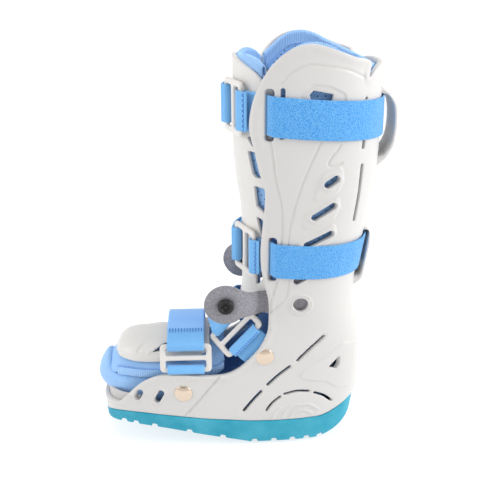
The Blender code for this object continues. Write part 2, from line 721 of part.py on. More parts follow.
def make_leg_straps():
    """Both leg straps, folded round their slides in front of the shin."""
    for name, middle, fall, start in LEG_STRAPS:
        top_z = middle + 0.5 * BAND_W + 1.0
        near_at, near_n = front_frame(top_z, -27.5)
        far_at, far_n = front_frame(top_z, -4.5)
        off = LOOP_R + 0.5 * BAND + FIT
        near = (near_at[0] + off * near_n[0], near_at[1] + off * near_n[1])
        far = (far_at[0] + off * far_n[0], far_at[1] + off * far_n[1])
        gap = math.hypot(near[0] - far[0], near[1] - far[1])
        run = ((near[0] - far[0]) / gap, (near[1] - far[1]) / gap)
        out = (run[1], -run[0])
        if out[0] > 0:
            out = (-out[0], -out[1])
        mid_x = 0.5 * (near[0] + far[0])
        centre = (mid_x, 0.5 * (near[1] + far[1]), middle - fall * mid_x)
        slide_plate(name + "_slide", centre, (0, 0, 1), (run[0], run[1], 0),
                    (out[0], out[1], 0), gap, BAND_W + 2.0)
        low, high = [leg_strap_path(middle + e * 0.5 * BAND_W, fall, start, near, far,
                                    run, out) for e in (-1, 1)]
        ribbon(name + "_strap", low, (0, 0, middle), (1, 0, 0), (0, 1, 0), (0, 0, 1),
               BAND_W, lambda s, f=fall: -f * s, top_path=high)


def toe_side(z):
    """Distance from the middle of the toe strap's ends inside the shell."""
    rim = half_at(73.0, TOE_X - 17.0, STRAP_IN) - 0.9
    low = half_at(46.0, TOE_X - 17.0, STRAP_IN) - 0.4
    return rim + (low - rim) * (68.0 - z) / 22.0


def make_toe_strap():
    """Toe strap over the toe panel, its near anchor and its slide."""
    low, high = TOE_BARS
    gap = math.hypot(high[0] - low[0], high[1] - low[1])
    run = ((high[0] - low[0]) / gap, (high[1] - low[1]) / gap)
    out = (-run[1], run[0])
    centre = (TOE_X, 0.5 * (low[0] + high[0]), 0.5 * (low[1] + high[1]))
    slide_plate("toe_slide", centre, (1, 0, 0), (0, run[0], run[1]),
                (0, out[0], out[1]), gap, BAND_W + 5.0)
    x, z = RIVETS[1]
    rim = toe_side(68.0)
    side = toe_side(46.0)
    over = [(-13.0, 116.6), (-19.5, 112.4), (-26.0, 107.0)]
    over += hairpin(high, run, out)
    over += [(-23.6, 103.6), (-16.5, 110.2), (-9.0, 115.2), (0.0, 117.4), (10.0, 115.6),
             (20.0, 110.0), (29.0, 100.0), (34.0, 88.0), (rim, 76.0), (rim, 68.0),
             (side, 46.0)]
    place = ((TOE_X, 0, 0), (0, 1, 0), (0, 0, 1), (1, 0, 0), BAND_W + 2.0)
    ribbon("toe_strap", over, *place, holes=[(x, z, 5, 60)])
    anchor = [(low[0] - 2.4, low[1] - 2.2)] + hairpin(low, (-run[0], -run[1]), out)
    anchor += [(-rim + 0.1, 71.5), (-rim, 67.0), (-side, 46.0)]
    ribbon("toe_anchor", anchor, *place, holes=[(x, z, -60, -5)])


def ankle_side():
    """Distance from the middle of the instep strap's ends inside the shell."""
    return half_at(RIVETS[0][1], RIVETS[0][0], STRAP_IN) - 0.6


def make_ankle_strap():
    """Instep strap, its near anchor and its slide."""
    u = ANKLE_U
    v = (u[1], -u[0])
    low, high = ANKLE_BARS
    gap = math.hypot(high[0] - low[0], high[1] - low[1])
    run = ((high[0] - low[0]) / gap, (high[1] - low[1]) / gap)
    out = (run[1], -run[0])
    if out[1] > 0:
        out = (-out[0], -out[1])
    origin = (ANKLE_ORIGIN[0], 0.0, ANKLE_ORIGIN[1])
    mid_s = 0.5 * (low[0] + high[0])
    mid_t = 0.5 * (low[1] + high[1])
    centre = (origin[0] + mid_s * v[0], mid_t, origin[2] + mid_s * v[1])
    slide_plate("ankle_slide", centre, (u[0], 0, u[1]),
                (run[0] * v[0], run[1], run[0] * v[1]),
                (out[0] * v[0], out[1], out[0] * v[1]), gap, BAND_W + 5.0)
    x, z = RIVETS[0]
    end = (x - origin[0]) * v[0] + (z - origin[2]) * v[1]
    side = ankle_side()
    place = (origin, (v[0], 0, v[1]), (0, 1, 0), (u[0], 0, u[1]), BAND_W + 2.0)
    over = [(-17.6, 1.0), (-17.4, -6.0), (-15.4, -13.6)]
    over += hairpin(high, run, out)
    over += [(-12.2, -14.6), (-14.6, -7.0), (-15.2, 0.0), (-14.4, 8.0), (-11.0, 18.0),
             (-5.0, 27.0), (4.0, 33.4), (16.0, side - 0.2), (end, side), (end + 9.0, side)]
    ribbon("ankle_strap", over, *place, holes=[(x, z, 5, 60)])
    anchor = [(low[0] + 3.4, low[1] - 3.0)] + hairpin(low, (-run[0], -run[1]), out)
    anchor += [(19.0, -side + 0.6), (24.0, -side), (end, -side), (end + 9.0, -side)]
    ribbon("ankle_anchor", anchor, *place, holes=[(x, z, -60, -5)])


def make_rivets():
    """Domed rivets through the shell and the strap ends."""
    names = [("rivet_ankle", RIVETS[0], ankle_side()),
             ("rivet_toe", RIVETS[1], toe_side(RIVETS[1][1]))]
    for base, (x, z), strap_y in names:
        inner = half_at(z, x) - strap_y + 0.5 * BAND + FIT
        for side, label in ((-1, "near"), (1, "far")):
            y = half_at(z, x)
            slope = (half_at(z, x + 2) - half_at(z, x - 2)) / 4.0
            lean = (half_at(z + 2, x) - half_at(z - 2, x)) / 4.0
            normal = Vector((-slope, side, -lean)).normalized()
            profile = [(0.0, RIVET_RISE + 0.3),
                       (0.72 * RIVET_R, RIVET_RISE * 0.74 + 0.3), (RIVET_R, 0.75),
                       (RIVET_R, 0.35), (STEM_R, 0.35), (STEM_R, -inner),
                       (STEM_R * 1.7, -inner), (STEM_R * 1.7, -inner - 0.5),
                       (0.0, -inner - 0.5)]
            bm = bmesh.new()
            turn = normal.to_track_quat("Z", "Y").to_matrix()
            at = Vector((x, side * y, z))
            loops = []
            for r, h in profile:
                if r == 0.0:
                    loops.append([bm.verts.new(at + turn @ Vector((0, 0, h)))])
                    continue
                loops.append([bm.verts.new(at + turn @ Vector((
                    r * math.cos(2 * math.pi * k / ROUND_POINTS),
                    r * math.sin(2 * math.pi * k / ROUND_POINTS), h)))
                    for k in range(ROUND_POINTS)])
            for a, b in zip(loops, loops[1:]):
                for k in range(ROUND_POINTS):
                    j = (k + 1) % ROUND_POINTS
                    if len(a) == 1:
                        bm.faces.new((a[0], b[k], b[j]))
                    elif len(b) == 1:
                        bm.faces.new((a[k], b[0], a[j]))
                    else:
                        bm.faces.new((a[k], b[k], b[j], a[j]))
            tidy(to_object(base + "_" + label, bm, "rivet"), 40.0)


def make_air_cell(label, side, tab):
    """Air cell inside the ankle, with the neck and disc that come out of it."""
    cx, cz = tab["disc"]
    rows = []
    angles = steps(math.pi, math.acos((11.4 - cx) / DISC_R)
                   if 11.4 - cx < DISC_R else 0.0, 9)
    for a in angles:
        x = cx + DISC_R * math.cos(a)
        tall = max(DISC_R * math.sin(a), 0.9)
        if x > cx:
            tall = max(tall, NECK_HALF)
        rows.append((x, cz, tall))
    last = rows[-1][0]
    if last < 10.0:
        for x in (2.0, 8.0, 11.6):
            if x > last + 1.0:
                rows.append((x, cz + (142.2 - cz) * (x - last) / (14.5 - last), NECK_HALF))
    rows += CELL_ROWS
    rings = []
    for x, z, tall in rows:
        if x <= 11.7:
            y = row_at([(k, v) for k, v in tab["y"]], x)[0]
        else:
            y = half_at(z, x, CELL_IN)
        puff = 0.5 * CELL
        if x < cx + DISC_R * 0.8:
            puff = 0.5 * CELL + 0.9 * max(0.0, 1.0 - ((x - cx) / DISC_R) ** 2)
        ring = []
        for w, n in ((-1, -0.35), (-0.9, -1), (0, -1), (0.9, -1), (1, -0.35),
                     (0.9, 1), (0, 1), (-0.9, 1)):
            h = z + w * tall
            depth = half_at(h, x, CELL_IN) if x > 11.7 else y
            ring.append((x, side * (depth + n * puff), h))
        rings.append(ring)
    obj = tidy(loft("air_cell_" + label, rings, "tab"))
    boolean(obj, prism("hole", circle(cx, cz, 2.6), min(0, side * 70), max(0, side * 70)),
            "DIFFERENCE")
    tidy(obj)
    y = row_at([(k, v) for k, v in tab["y"]], cx)[0]
    face = side * (y + 0.5 * CELL + 0.9 + 0.35)
    back = side * (y - 0.5 * CELL - 0.9 - 0.35)
    profile = [(0.0, 2.2), (3.6, 2.2), (4.2, 3.2), (VALVE_R - 0.6, 3.2), (VALVE_R, 2.6),
               (VALVE_R, 0.0), (2.2, 0.0)]
    bm = bmesh.new()
    loops = []
    for r, h in profile + [(2.2, None), (4.6, None), (4.6, "end"), (0.0, "end")]:
        if h is None:
            depth = back
        elif h == "end":
            depth = back - side * 1.0
        else:
            depth = face + side * h
        if r == 0.0:
            loops.append([bm.verts.new((cx, depth, cz))])
        else:
            loops.append([bm.verts.new((cx + r * math.cos(2 * math.pi * k / ROUND_POINTS),
                                        depth,
                                        cz + r * math.sin(2 * math.pi * k / ROUND_POINTS)))
                          for k in range(ROUND_POINTS)])
    for a, b in zip(loops, loops[1:]):
        for k in range(ROUND_POINTS):
            j = (k + 1) % ROUND_POINTS
            if len(a) == 1:
                bm.faces.new((a[0], b[k], b[j]))
            elif len(b) == 1:
                bm.faces.new((a[k], b[0], a[j]))
            else:
                bm.faces.new((a[k], b[k], b[j], a[j]))
    tidy(to_object("valve_" + label, bm, "valve"), 40.0)


def centre_on_floor():
    """Put the middle of the boot's footprint at the origin, on the floor."""
    low = [1e9] * 3
    high = [-1e9] * 3
    for obj in bpy.data.objects:
        for vert in obj.data.vertices:
            for c in range(3):
                low[c] = min(low[c], vert.co[c])
                high[c] = max(high[c], vert.co[c])
    move = Vector((-0.5 * (low[0] + high[0]), -0.5 * (low[1] + high[1]), -low[2]))
    for obj in bpy.data.objects:
        for vert in obj.data.vertices:
            vert.co += move
        obj.data.update()
    print("moved by", [round(c * 1000, 4) for c in move],
          "size", [round((high[c] - low[c]) * 1000, 3) for c in range(3)])


def build():
    """Make every piece."""
    clear_scene()
    make_sole()
    make_shell()
    make_shin_panel()
    make_tongue()
    make_leg_liner()
    make_foot_liner()
    arch("toe_panel", TOE_PANEL, PANEL, "panel")
    arch("vamp_flap", VAMP, PAD - 1.0, "liner", square=1.8)
    make_leg_straps()
    make_toe_strap()
    make_ankle_strap()
    make_rivets()
    make_air_cell("near", -1, NEAR_TAB)
    make_air_cell("far", 1, FAR_TAB)
    centre_on_floor()


build()
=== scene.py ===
"""Air walker boot: the finished looks of a padded orthopaedic boot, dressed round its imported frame.

Lengths are millimetres in the maker's side-view frame: x runs from toe
(negative) to heel, y across with the slides' side negative, z up from the
floor. Meshes are turned to metres, and centred on the footprint, when made.
"""
import logging
import math
from dataclasses import dataclass, field
from enum import Enum
from typing import Callable, Iterable, Optional, Sequence

import bmesh
import bpy
import numpy as np
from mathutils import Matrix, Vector
from mathutils.geometry import delaunay_2d_cdt
from mathutils.kdtree import KDTree


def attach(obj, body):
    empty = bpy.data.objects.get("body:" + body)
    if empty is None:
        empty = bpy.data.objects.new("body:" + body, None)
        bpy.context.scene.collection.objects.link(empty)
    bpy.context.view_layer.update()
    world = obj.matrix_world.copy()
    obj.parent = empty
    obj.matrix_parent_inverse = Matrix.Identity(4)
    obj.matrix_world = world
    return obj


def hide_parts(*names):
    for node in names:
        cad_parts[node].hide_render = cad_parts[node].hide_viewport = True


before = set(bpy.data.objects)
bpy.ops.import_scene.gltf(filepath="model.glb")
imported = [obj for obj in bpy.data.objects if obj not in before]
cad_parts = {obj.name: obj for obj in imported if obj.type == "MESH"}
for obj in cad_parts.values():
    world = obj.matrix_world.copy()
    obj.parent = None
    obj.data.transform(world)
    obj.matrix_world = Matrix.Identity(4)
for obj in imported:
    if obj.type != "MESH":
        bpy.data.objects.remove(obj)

LOG = logging.getLogger("walker_boot")

MM = 0.001
SHIFT = 11.0008          # the frame's origin is this far in front of x = 0
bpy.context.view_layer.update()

# Driving sizes, the same as the frame's own
WALL = 3.0               # moulded shell
PANEL = 2.6              # shin and toe panels
PAD = 5.0                # padded liner
FIT = 0.4                # clearance
BAND = 1.8               # strap
BAND_W = 30.0            # strap width
CELL = 2.2               # air cell
SLIDE_T = 2.8
BAR = 3.2
LOOP_R = 3.4
RIVET_R = 7.9
RIVET_RISE = 1.9
STEM_R = 2.4
DISC_R = 17.8
VALVE_R = 6.6
NECK_HALF = 10.8
SOLE_FLARE = 0.8
PANEL_IN = WALL + BAND + 2.0 * FIT + 0.6
STRAP_IN = WALL + FIT + 0.5 * BAND
STRAP_OUT = -(2.0 * FIT + 0.5 * BAND)
CELL_IN = WALL + 2.0 * FIT + 0.5 * CELL

# Shell envelope: z, front, back, half width, squareness
ENVELOPE_ROWS = [
    (0, -133.0, 91.0, 41.5, 3.2), (23, -133.0, 94.5, 42.0, 3.2),
    (40, -133.0, 97.0, 42.0, 3.2), (64, -130.0, 98.5, 41.2, 3.2),
    (86, -112.0, 98.5, 40.5, 3.1), (104, -76.0, 96.0, 40.5, 2.8),
    (128, -16.0, 92.0, 41.0, 2.4), (152, -13.0, 91.0, 42.0, 2.3),
    (184, -12.6, 94.5, 43.7, 2.3), (216, -14.0, 99.3, 45.8, 2.3),
    (240, -17.5, 102.4, 47.5, 2.3), (268, -19.8, 103.8, 49.0, 2.3),
    (300, -20.2, 103.4, 50.0, 2.3), (330, -19.8, 101.5, 50.0, 2.3),
    (366, -20.0, 100.0, 50.0, 2.3),
]
# Side outline of the shell from the back of the rim, over the front, to the toe: x, z
SHELL_EDGE = [
    (112, 336), (97, 334), (91, 330.5), (87.0, 326.6), (86.2, 326.6), (86.2, 330),
    (87.5, 335), (86.4, 338), (84, 339.4), (74, 342), (63, 346), (53, 349.5),
    (43, 351.5), (33, 350.3), (23, 345.5), (14, 337), (7, 326), (1, 312), (-2, 297),
    (-2, 288), (2, 271), (6, 254), (9.5, 243), (10, 232), (8, 205), (7, 187), (8, 171),
    (11, 157), (13.6, 144), (14, 127), (13, 116), (10, 107), (6, 99), (-2, 89),
    (-10, 81), (-19, 75.5), (-27, 73.4), (-43, 73), (-57, 74), (-73, 74), (-86, 71),
    (-97, 65), (-106, 56), (-113, 48), (-118, 42.6), (-124, 41.3), (-140, 41),
]
# Sole: x, underside z, top z
SOLE_ROWS = [
    (-133.4, 19.0, 23.5), (-130, 17.6, 27.5), (-124, 18.4, 31.0),
    (-112, 19.6, 33.6), (-98, 19.0, 34.2), (-79, 16.8, 33.0), (-59, 12.8, 31.0),
    (-40, 8.4, 28.6), (-20, 4.2, 27.0), (-6, 1.2, 25.8), (0, 0.0, 25.4),
    (30, 0.0, 25.0), (60, 0.0, 25.4), (66, 1.6, 26.6), (75, 5.2, 30.2),
    (84, 11.2, 34.6), (90, 18.4, 37.8), (93.6, 27.0, 39.5),
]
# Slotted vents through the shell: width, then the points of their middle line
VENTS = [
    (6.2, [(57.5, 247.5), (63.5, 251.5)]), (5.7, [(48.5, 220.5), (62.5, 229.5)]),
    (5.7, [(43.5, 196.5), (61.5, 205.5)]), (5.7, [(36.5, 163.5), (50.0, 173.0)]),
    (2.3, [(85.0, 274.0), (85.4, 281.0)]), (2.3, [(82.0, 214.0), (84.4, 238), (85.2, 260.0)]),
    (2.9, [(62.0, 108.0), (50.5, 97.0), (40.0, 86.0)]), (2.9, [(33.0, 80.0), (23.4, 72.2), (14.0, 63.0)]),
    (2.9, [(8.0, 56.0), (0.2, 46.8), (-7.0, 37.0)]), (2.5, [(25.0, 50.0), (18.4, 44.2), (13.0, 36.5)]),
    (2.5, [(29.0, 52.6), (40.0, 54.8), (51.0, 53.8)]), (2.5, [(56.0, 51.6), (64.8, 47.2), (72.0, 40.6)]),
    (5.8, [(-98.2, 55.8), (-101.0, 50.4)]), (5.8, [(-79.6, 56.0), (-83.6, 48.8)]),
    (1.9, [(85.0, 311.0), (85.3, 311.3)]), (3.6, [(21.4, 285.0), (21.6, 319.0)]),
]
RIMMED_VENTS = 4         # the first vents carry a raised lip
TOE_VENTS = (12, 13)     # these carry a wider one
HEX_VENT = [(41, 316), (44, 319), (59, 316), (57.6, 306), (44, 306)]
HEEL_VENT = [(76.8, 86.4), (77.2, 77.6), (74.4, 73.6), (67, 76.6)]
RING_VENT = (40.4, 141.3, 6.3)
RIVETS = [(11.0, 91.0), (-60.0, 56.0)]
# Leg straps: name, middle z at x = 0, fall per mm of x, start of the slot
LEG_STRAPS = [("upper", 301.0, 0.066, 8.6), ("lower", 182.6, 0.035, 12.8)]
SLOT_LONG = 6.9
SLOT_TALL = 39.0

TONGUE_IN = PANEL_IN + PANEL + 0.6
FOOT_IN = 6.4

# Openings of the shin panel, on both sides: x, z
PANEL_SLOTS = [
    [(-4, 281.5), (7, 280), (7, 272), (0.5, 274)],
    [(-3, 270), (8, 268.5), (12, 249), (3.4, 249), (0.8, 252)],
    [(2, 242), (12, 240), (12, 218), (4, 225)],
    [(4, 216), (12, 211), (12, 197), (8, 199)],
    [(4, 167), (9, 169), (9, 160), (4, 152)],
]
PANEL_TOP = [(-30, 343), (-16, 341), (-10, 337), (-2, 332), (3, 328.5), (8, 323), (15.5, 318)]
PANEL_BACK_X = 15.5
PANEL_LOW = 134.0
# Toe panel and toe flap: x, crown z, half width, edge z
TOE_PANEL = [
    (-120.5, 85.8, 9.0, 82.4), (-117, 90.8, 17.0, 82.6), (-110, 94.8, 23.0, 82.4),
    (-102, 96.0, 26.0, 81.6), (-88, 96.6, 27.5, 81.2), (-69, 97.4, 28.0, 81.6),
    (-54, 98.6, 28.0, 84.0), (-43, 99.8, 27.2, 88.0), (-36.5, 101.0, 26.0, 91.4),
]
VAMP = [
    (-130.4, 69.0, 7.0, 61.5), (-128.4, 75.0, 14.0, 62.0), (-124, 80.6, 18.6, 64.0),
    (-117, 86.0, 22.4, 66.4), (-110, 90.4, 25.0, 66.9),
    (-100, 91.8, 27.6, 66.9), (-88, 92.6, 29.6, 66.9), (-69, 93.4, 30.4, 66.9),
    (-54, 94.6, 30.4, 67.2), (-43, 96.0, 30.0, 67.6), (-31, 98.6, 29.4, 69.0),
    (-22, 105.0, 28.0, 74.0),
]
# Foot liner's outside: z, front, half width, squareness
FOOT_LINER = [
    (38.6, -116.0, 31.0, 3.0), (40.4, -121.0, 33.2, 3.0), (42.2, -126.0, 33.8, 2.8),
    (46, -134.0, 33.8, 2.55), (52, -137.6, 33.6, 2.45), (58, -138.0, 33.0, 2.4),
    (66, -136.4, 32.4, 2.4), (74, -132.4, 32.2, 2.4), (80, -127.6, 32.2, 2.4),
    (86, -121.0, 32.2, 2.4), (97, -104.0, 32.2, 2.4), (109, -60.0, 32.2, 2.4),
]
FOOT_LINER_TOP = [
    (-150, 88.0), (-126.4, 88.0), (-124.2, 66.2), (-60, 66.2), (-40, 66.2),
    (-26, 68.0), (-14, 74.0), (-2, 84.0), (8, 95.0), (18, 104.0), (26, 108.4), (130, 108.4),
]
# Strap keepers on the back of the shell: outside and window, as distance behind the shell and z
KEEPER_HALF = 15.0
KEEPERS = [
    ([(-2.3, 315), (2.6, 312.6), (7.4, 307.5), (11.0, 302), (12.4, 291), (12.2, 279), (11.0, 270),
      (8.0, 262.6),
      (4.0, 256.6), (-2.3, 250.5)],
     [(-2.9, 309.6), (3.6, 309.2), (7.2, 303.6), (8.9, 297.5), (9.6, 290), (9.4, 280), (8.2, 272),
      (5.4, 265.6),
      (2.6, 262), (-2.9, 260)]),
    ([(-2.3, 201.5), (1.6, 198.6), (4.8, 193), (6.3, 187), (6.7, 177), (6.7, 168), (6.2, 158), (4.6, 151),
      (-2.3, 144.5)],
     [(-2.9, 196.6), (2.9, 196.2), (3.6, 188), (4.0, 177), (4.0, 168), (3.6, 158.6), (2.2, 155.6),
      (-2.9, 154.6)]),
]
# Sole: flat part, grooves' places along the boot, and their length, depth and width
SOLE_FLAT = (0.0, 60.0)
GROOVES = [-115, -104, -87, -56, -26, 2.5, 20, 37, 50, 62]
GROOVE_LONG = 15.0
GROOVE_DEEP = 3.2
GROOVE_WIDE = 4.8
# Air cell seen from the side: x, middle z, half height; then each tab's disc and its y by x
CELL_ROWS = [(14.5, 137.6, 10.6), (22, 139.6, 12.0), (28, 142.4, 20.0), (36, 142.6, 25.0), (48, 142.6, 26.4),
             (58, 142.4, 23.0), (64, 142.2, 15.0), (66.5, 142.0, 7.0)]
NEAR_TAB = ((-22.0, 145.0), [(-40, 46.6), (-30, 46.1), (-14, 45.9), (-6, 43.4), (2, 37.4), (7.5, 32.8),
                             (11.4, 32.2)])
FAR_TAB = ((-5.4, 148.6), [(-24, 41.0), (-14, 39.1), (2.6, 38.9), (7.5, 33.8), (11.4, 32.2)])
# Places of the foot straps' slides, in each strap's own plane
TOE_X = -57.0
TOE_BARS = ((-37.8, 78.4), (-31.6, 98.2))
ANKLE_ORIGIN = (-14.0, 112.0)
ANKLE_U = (0.66, 0.7513)
ANKLE_BARS = ((10.4, -34.8), (-9.2, -23.6))

# Rim of the leg liner behind its front corner: x, z
LEG_RIM = [(18, 348), (27, 355), (36, 359), (45, 360), (55, 358), (66, 353), (85, 345), (98, 340), (110, 338)]

SPAN = 240.0             # width of the flat chart of half the wall

Point2 = tuple[float, float]


def smoothstep(t: np.ndarray) -> np.ndarray:
    """Return the soft 0 to 1 ramp of t."""
    t = np.clip(t, 0.0, 1.0)
    return t * t * (3.0 - 2.0 * t)


class Table:
    """Smooth monotone interpolation of rows on their first column."""

    def __init__(self, rows: Sequence[Sequence[float]]) -> None:
        """Work out the slope of every column at every row.

        Args:
            rows: Rows whose first column rises.
        """
        data = np.array(rows, float)
        self.keys = data[:, 0]
        self.vals = data[:, 1:]
        step = np.diff(self.keys)[:, None]
        rate = np.diff(self.vals, axis=0) / step
        self.slopes = np.zeros_like(self.vals)
        left = rate[:-1]
        right = rate[1:]
        total = np.where(np.abs(left + right) < 1e-12, 1.0, left + right)
        self.slopes[1:-1] = np.where(left * right > 0.0, 2.0 * left * right / total, 0.0)

    def at(self, x: np.ndarray) -> np.ndarray:
        """Interpolate the columns.

        Args:
            x: Values of the first column.

        Returns:
            One row of columns for each value.
        """
        x = np.clip(np.asarray(x, float), self.keys[0], self.keys[-1])
        i = np.clip(np.searchsorted(self.keys, x, side="right") - 1, 0, len(self.keys) - 2)
        h = (self.keys[i + 1] - self.keys[i])[..., None]
        t = (x[..., None] - self.keys[i][..., None]) / h
        return ((2 * t**3 - 3 * t**2 + 1) * self.vals[i] + (t**3 - 2 * t**2 + t) * self.slopes[i] * h
                + (-2 * t**3 + 3 * t**2) * self.vals[i + 1] + (t**3 - t**2) * self.slopes[i + 1] * h)


class Envelope:
    """Outer form of the boot: a superellipse plan section at every height."""

    LEVEL = 4.0
    FINE = 1600

    def __init__(self, rows: Sequence[Sequence[float]]) -> None:
        """Tabulate the share of the half perimeter against the section's angle.

        Args:
            rows: z, front, back, half width and squareness.
        """
        self.table = Table(rows)
        self.low = rows[0][0]
        self.levels = np.arange(self.low, rows[-1][0] + self.LEVEL, self.LEVEL)
        angle = np.linspace(0.0, math.pi, self.FINE + 1)
        shares = []
        turns = []
        lengths = []
        even = np.linspace(0.0, 1.0, self.FINE + 1)
        for z in self.levels:
            x, y = self.plan(angle, np.full_like(angle, z), 0.0)
            run = np.concatenate([[0.0], np.cumsum(np.hypot(np.diff(x), np.diff(y)))])
            lengths.append(run[-1])
            shares.append(run / run[-1])
            turns.append(np.interp(even, run / run[-1], angle))
        self.shares = np.array(shares)
        self.turns = np.array(turns)
        self.lengths = np.array(lengths)

    def plan(self, angle: np.ndarray, z: np.ndarray, inset: np.ndarray) -> tuple[np.ndarray, np.ndarray]:
        """Point of the section at an angle from the heel.

        Args:
            angle: Angle from the heel, 0 to pi.
            z: Height.
            inset: Distance inside the envelope.

        Returns:
            x and the distance from the middle plane.
        """
        front, back, half, square = np.moveaxis(self.table.at(z), -1, 0)
        c = np.cos(angle)
        s = np.abs(np.sin(angle))
        x = 0.5 * (front + back) + (0.5 * (back - front) - inset) * np.sign(c) * np.abs(c) ** (2.0 / square)
        return x, (half - inset) * s ** (2.0 / square)

    def _look(self, grid: np.ndarray, across: np.ndarray, z: np.ndarray) -> np.ndarray:
        """Bilinear read of a table of levels by shares."""
        r = np.clip((z - self.low) / self.LEVEL, 0, len(self.levels) - 1.001)
        c = np.clip(across * self.FINE, 0, self.FINE - 1e-6)
        i = r.astype(int)
        j = c.astype(int)
        fr = r - i
        fc = c - j
        return ((1 - fr) * ((1 - fc) * grid[i, j] + fc * grid[i, j + 1])
                + fr * ((1 - fc) * grid[i + 1, j] + fc * grid[i + 1, j + 1]))

    def place(self, share: np.ndarray, z: np.ndarray, inset: np.ndarray) -> np.ndarray:
        """Point of the wall, on the slides' side.

        Args:
            share: Share of the half perimeter from heel (0) to toe (1).
            z: Height.
            inset: Distance inside the envelope.

        Returns:
            Points as rows of x, y, z.
        """
        angle = self._look(self.turns, share, z)
        angle = np.where(share >= 1.0 - 1e-9, math.pi, np.where(share <= 1e-9, 0.0, angle))
        x, y = self.plan(angle, z, inset)
        y = np.where((share <= 1e-9) | (share >= 1.0 - 1e-9), 0.0, y)
        return np.stack([x, -y, z * np.ones_like(x)], -1)

    def share(self, x: np.ndarray, z: np.ndarray, inset: float = 0.0) -> np.ndarray:
        """Share of the half perimeter of a point seen from the side.

        Args:
            x: Place along the boot.
            z: Height.
            inset: Distance of the point's wall inside the envelope.

        Returns:
            Shares from heel (0) to toe (1).
        """
        front, back, _, square = np.moveaxis(self.table.at(z), -1, 0)
        t = np.clip((x - 0.5 * (front + back)) / (0.5 * (back - front) - inset), -1.0, 1.0)
        angle = np.arccos(np.sign(t) * np.abs(t) ** (0.5 * square))
        return self._look(self.shares, angle / math.pi, z)

    def length(self, z: np.ndarray) -> np.ndarray:
        """Half perimeter at a height."""
        return np.interp(z, self.levels, self.lengths)

    def halves(self, z: np.ndarray, x: np.ndarray, inset: float = 0.0) -> np.ndarray:
        """Half widths of the sections at (x, z), moved inwards by inset."""
        front, back, half, square = np.moveaxis(self.table.at(np.asarray(z, float)), -1, 0)
        t = np.minimum(np.abs(x - 0.5 * (front + back)) / (0.5 * (back - front) - inset), 1.0)
        return (half - inset) * (1.0 - t**square) ** (1.0 / square)

    def half_at(self, z: float, x: float, inset: float = 0.0) -> float:
        """Half width of the section at (x, z), moved inwards by inset."""
        return float(self.halves(np.array(z, float), np.array(x, float), inset))

    def back_at(self, z: float, y: float, inset: float) -> float:
        """x of the back of the section at (y, z), moved inwards by inset."""
        front, back, half, square = self.table.at(np.array(z, float))
        t = min(abs(y) / (half - inset), 1.0)
        reach = (0.5 * (back - front) - inset) * (1.0 - t**square) ** (1.0 / square)
        return float(0.5 * (front + back) + reach)

    def front_frame(self, z: float, y: float, inset: float) -> tuple[Point2, Point2]:
        """Point and outward plan normal of the front of a section moved inwards."""
        front, back, half, square = self.table.at(np.array(z, float))
        a = 0.5 * (back - front) - inset
        b = half - inset
        mid = 0.5 * (front + back)

        def x_of(v: float) -> float:
            """x of the front wall at a distance from the middle plane."""
            return mid - a * (1.0 - min(abs(v) / b, 1.0) ** square) ** (1.0 / square)

        dx = x_of(y + 0.5) - x_of(y - 0.5)
        size = math.hypot(dx, 1.0)
        return (float(x_of(y)), y), (-1.0 / size, float(dx) / size)


ENVELOPE = Envelope(ENVELOPE_ROWS)
SOLE = Table(SOLE_ROWS)


def spline(points: Sequence[Sequence[float]], step: float, closed: bool = False) -> np.ndarray:
    """Curve through given points at an even spacing.

    Args:
        points: Points of any dimension.
        step: Spacing of the result.
        closed: Join the ends.

    Returns:
        Points, without the first one again at the end when closed.
    """
    p = np.array(points, float)
    n = len(p)
    out = []
    for k in range(n if closed else n - 1):
        a = p[(k - 1) % n] if closed or k else p[k]
        b = p[k]
        c = p[(k + 1) % n]
        d = p[(k + 2) % n] if closed or k < n - 2 else c
        ta = max(np.linalg.norm(b - a) ** 0.5, 1e-6)
        tb = max(np.linalg.norm(c - b) ** 0.5, 1e-6)
        tc = max(np.linalg.norm(d - c) ** 0.5, 1e-6)
        m1 = (c - b) + tb * ((b - a) / ta - (c - a) / (ta + tb)) if ta > 1e-5 else c - b
        m2 = (c - b) + tb * ((d - c) / tc - (d - b) / (tb + tc)) if tc > 1e-5 else c - b
        t = np.linspace(0.0, 1.0, 24, endpoint=False)[:, None]
        out.append((2 * t**3 - 3 * t**2 + 1) * b + (t**3 - 2 * t**2 + t) * m1
                   + (-2 * t**3 + 3 * t**2) * c + (t**3 - t**2) * m2)
    fine = np.concatenate(out + [p[:1] if closed else p[-1:]])
    return even(fine, step, closed)


def even(fine: np.ndarray, step: float, closed: bool = False) -> np.ndarray:
    """Resample a line of points evenly; a closed one doesn't repeat its start."""
    run = np.concatenate([[0.0], np.cumsum(np.linalg.norm(np.diff(fine, axis=0), axis=1))])
    count = max(int(round(run[-1] / step)), 3)
    at = np.linspace(0.0, run[-1], count + 1)
    line = np.stack([np.interp(at, run, fine[:, c]) for c in range(fine.shape[1])], -1)
    return line[:-1] if closed else line


def slot_outline(width: float, points: Sequence[Point2]) -> np.ndarray:
    """Outline of a round-ended slot along a middle line."""
    r = 0.5 * width
    line = spline(points, 0.8)
    d = np.gradient(line, axis=0)
    d /= np.linalg.norm(d, axis=1)[:, None]
    side = np.stack([-d[:, 1], d[:, 0]], -1) * r
    ends = max(int(math.pi * r / 0.7), 4)
    out = list(line + side)
    for end, sign in ((-1, 1.0), (0, -1.0)):
        for k in range(1, ends):
            a = 0.5 * math.pi - math.pi * k / ends
            out.append(line[end] + sign * (d[end] * r * math.cos(a) + side[end] * math.sin(a)))
        if end == -1:
            out += list((line - side)[::-1])
    return np.array(out)


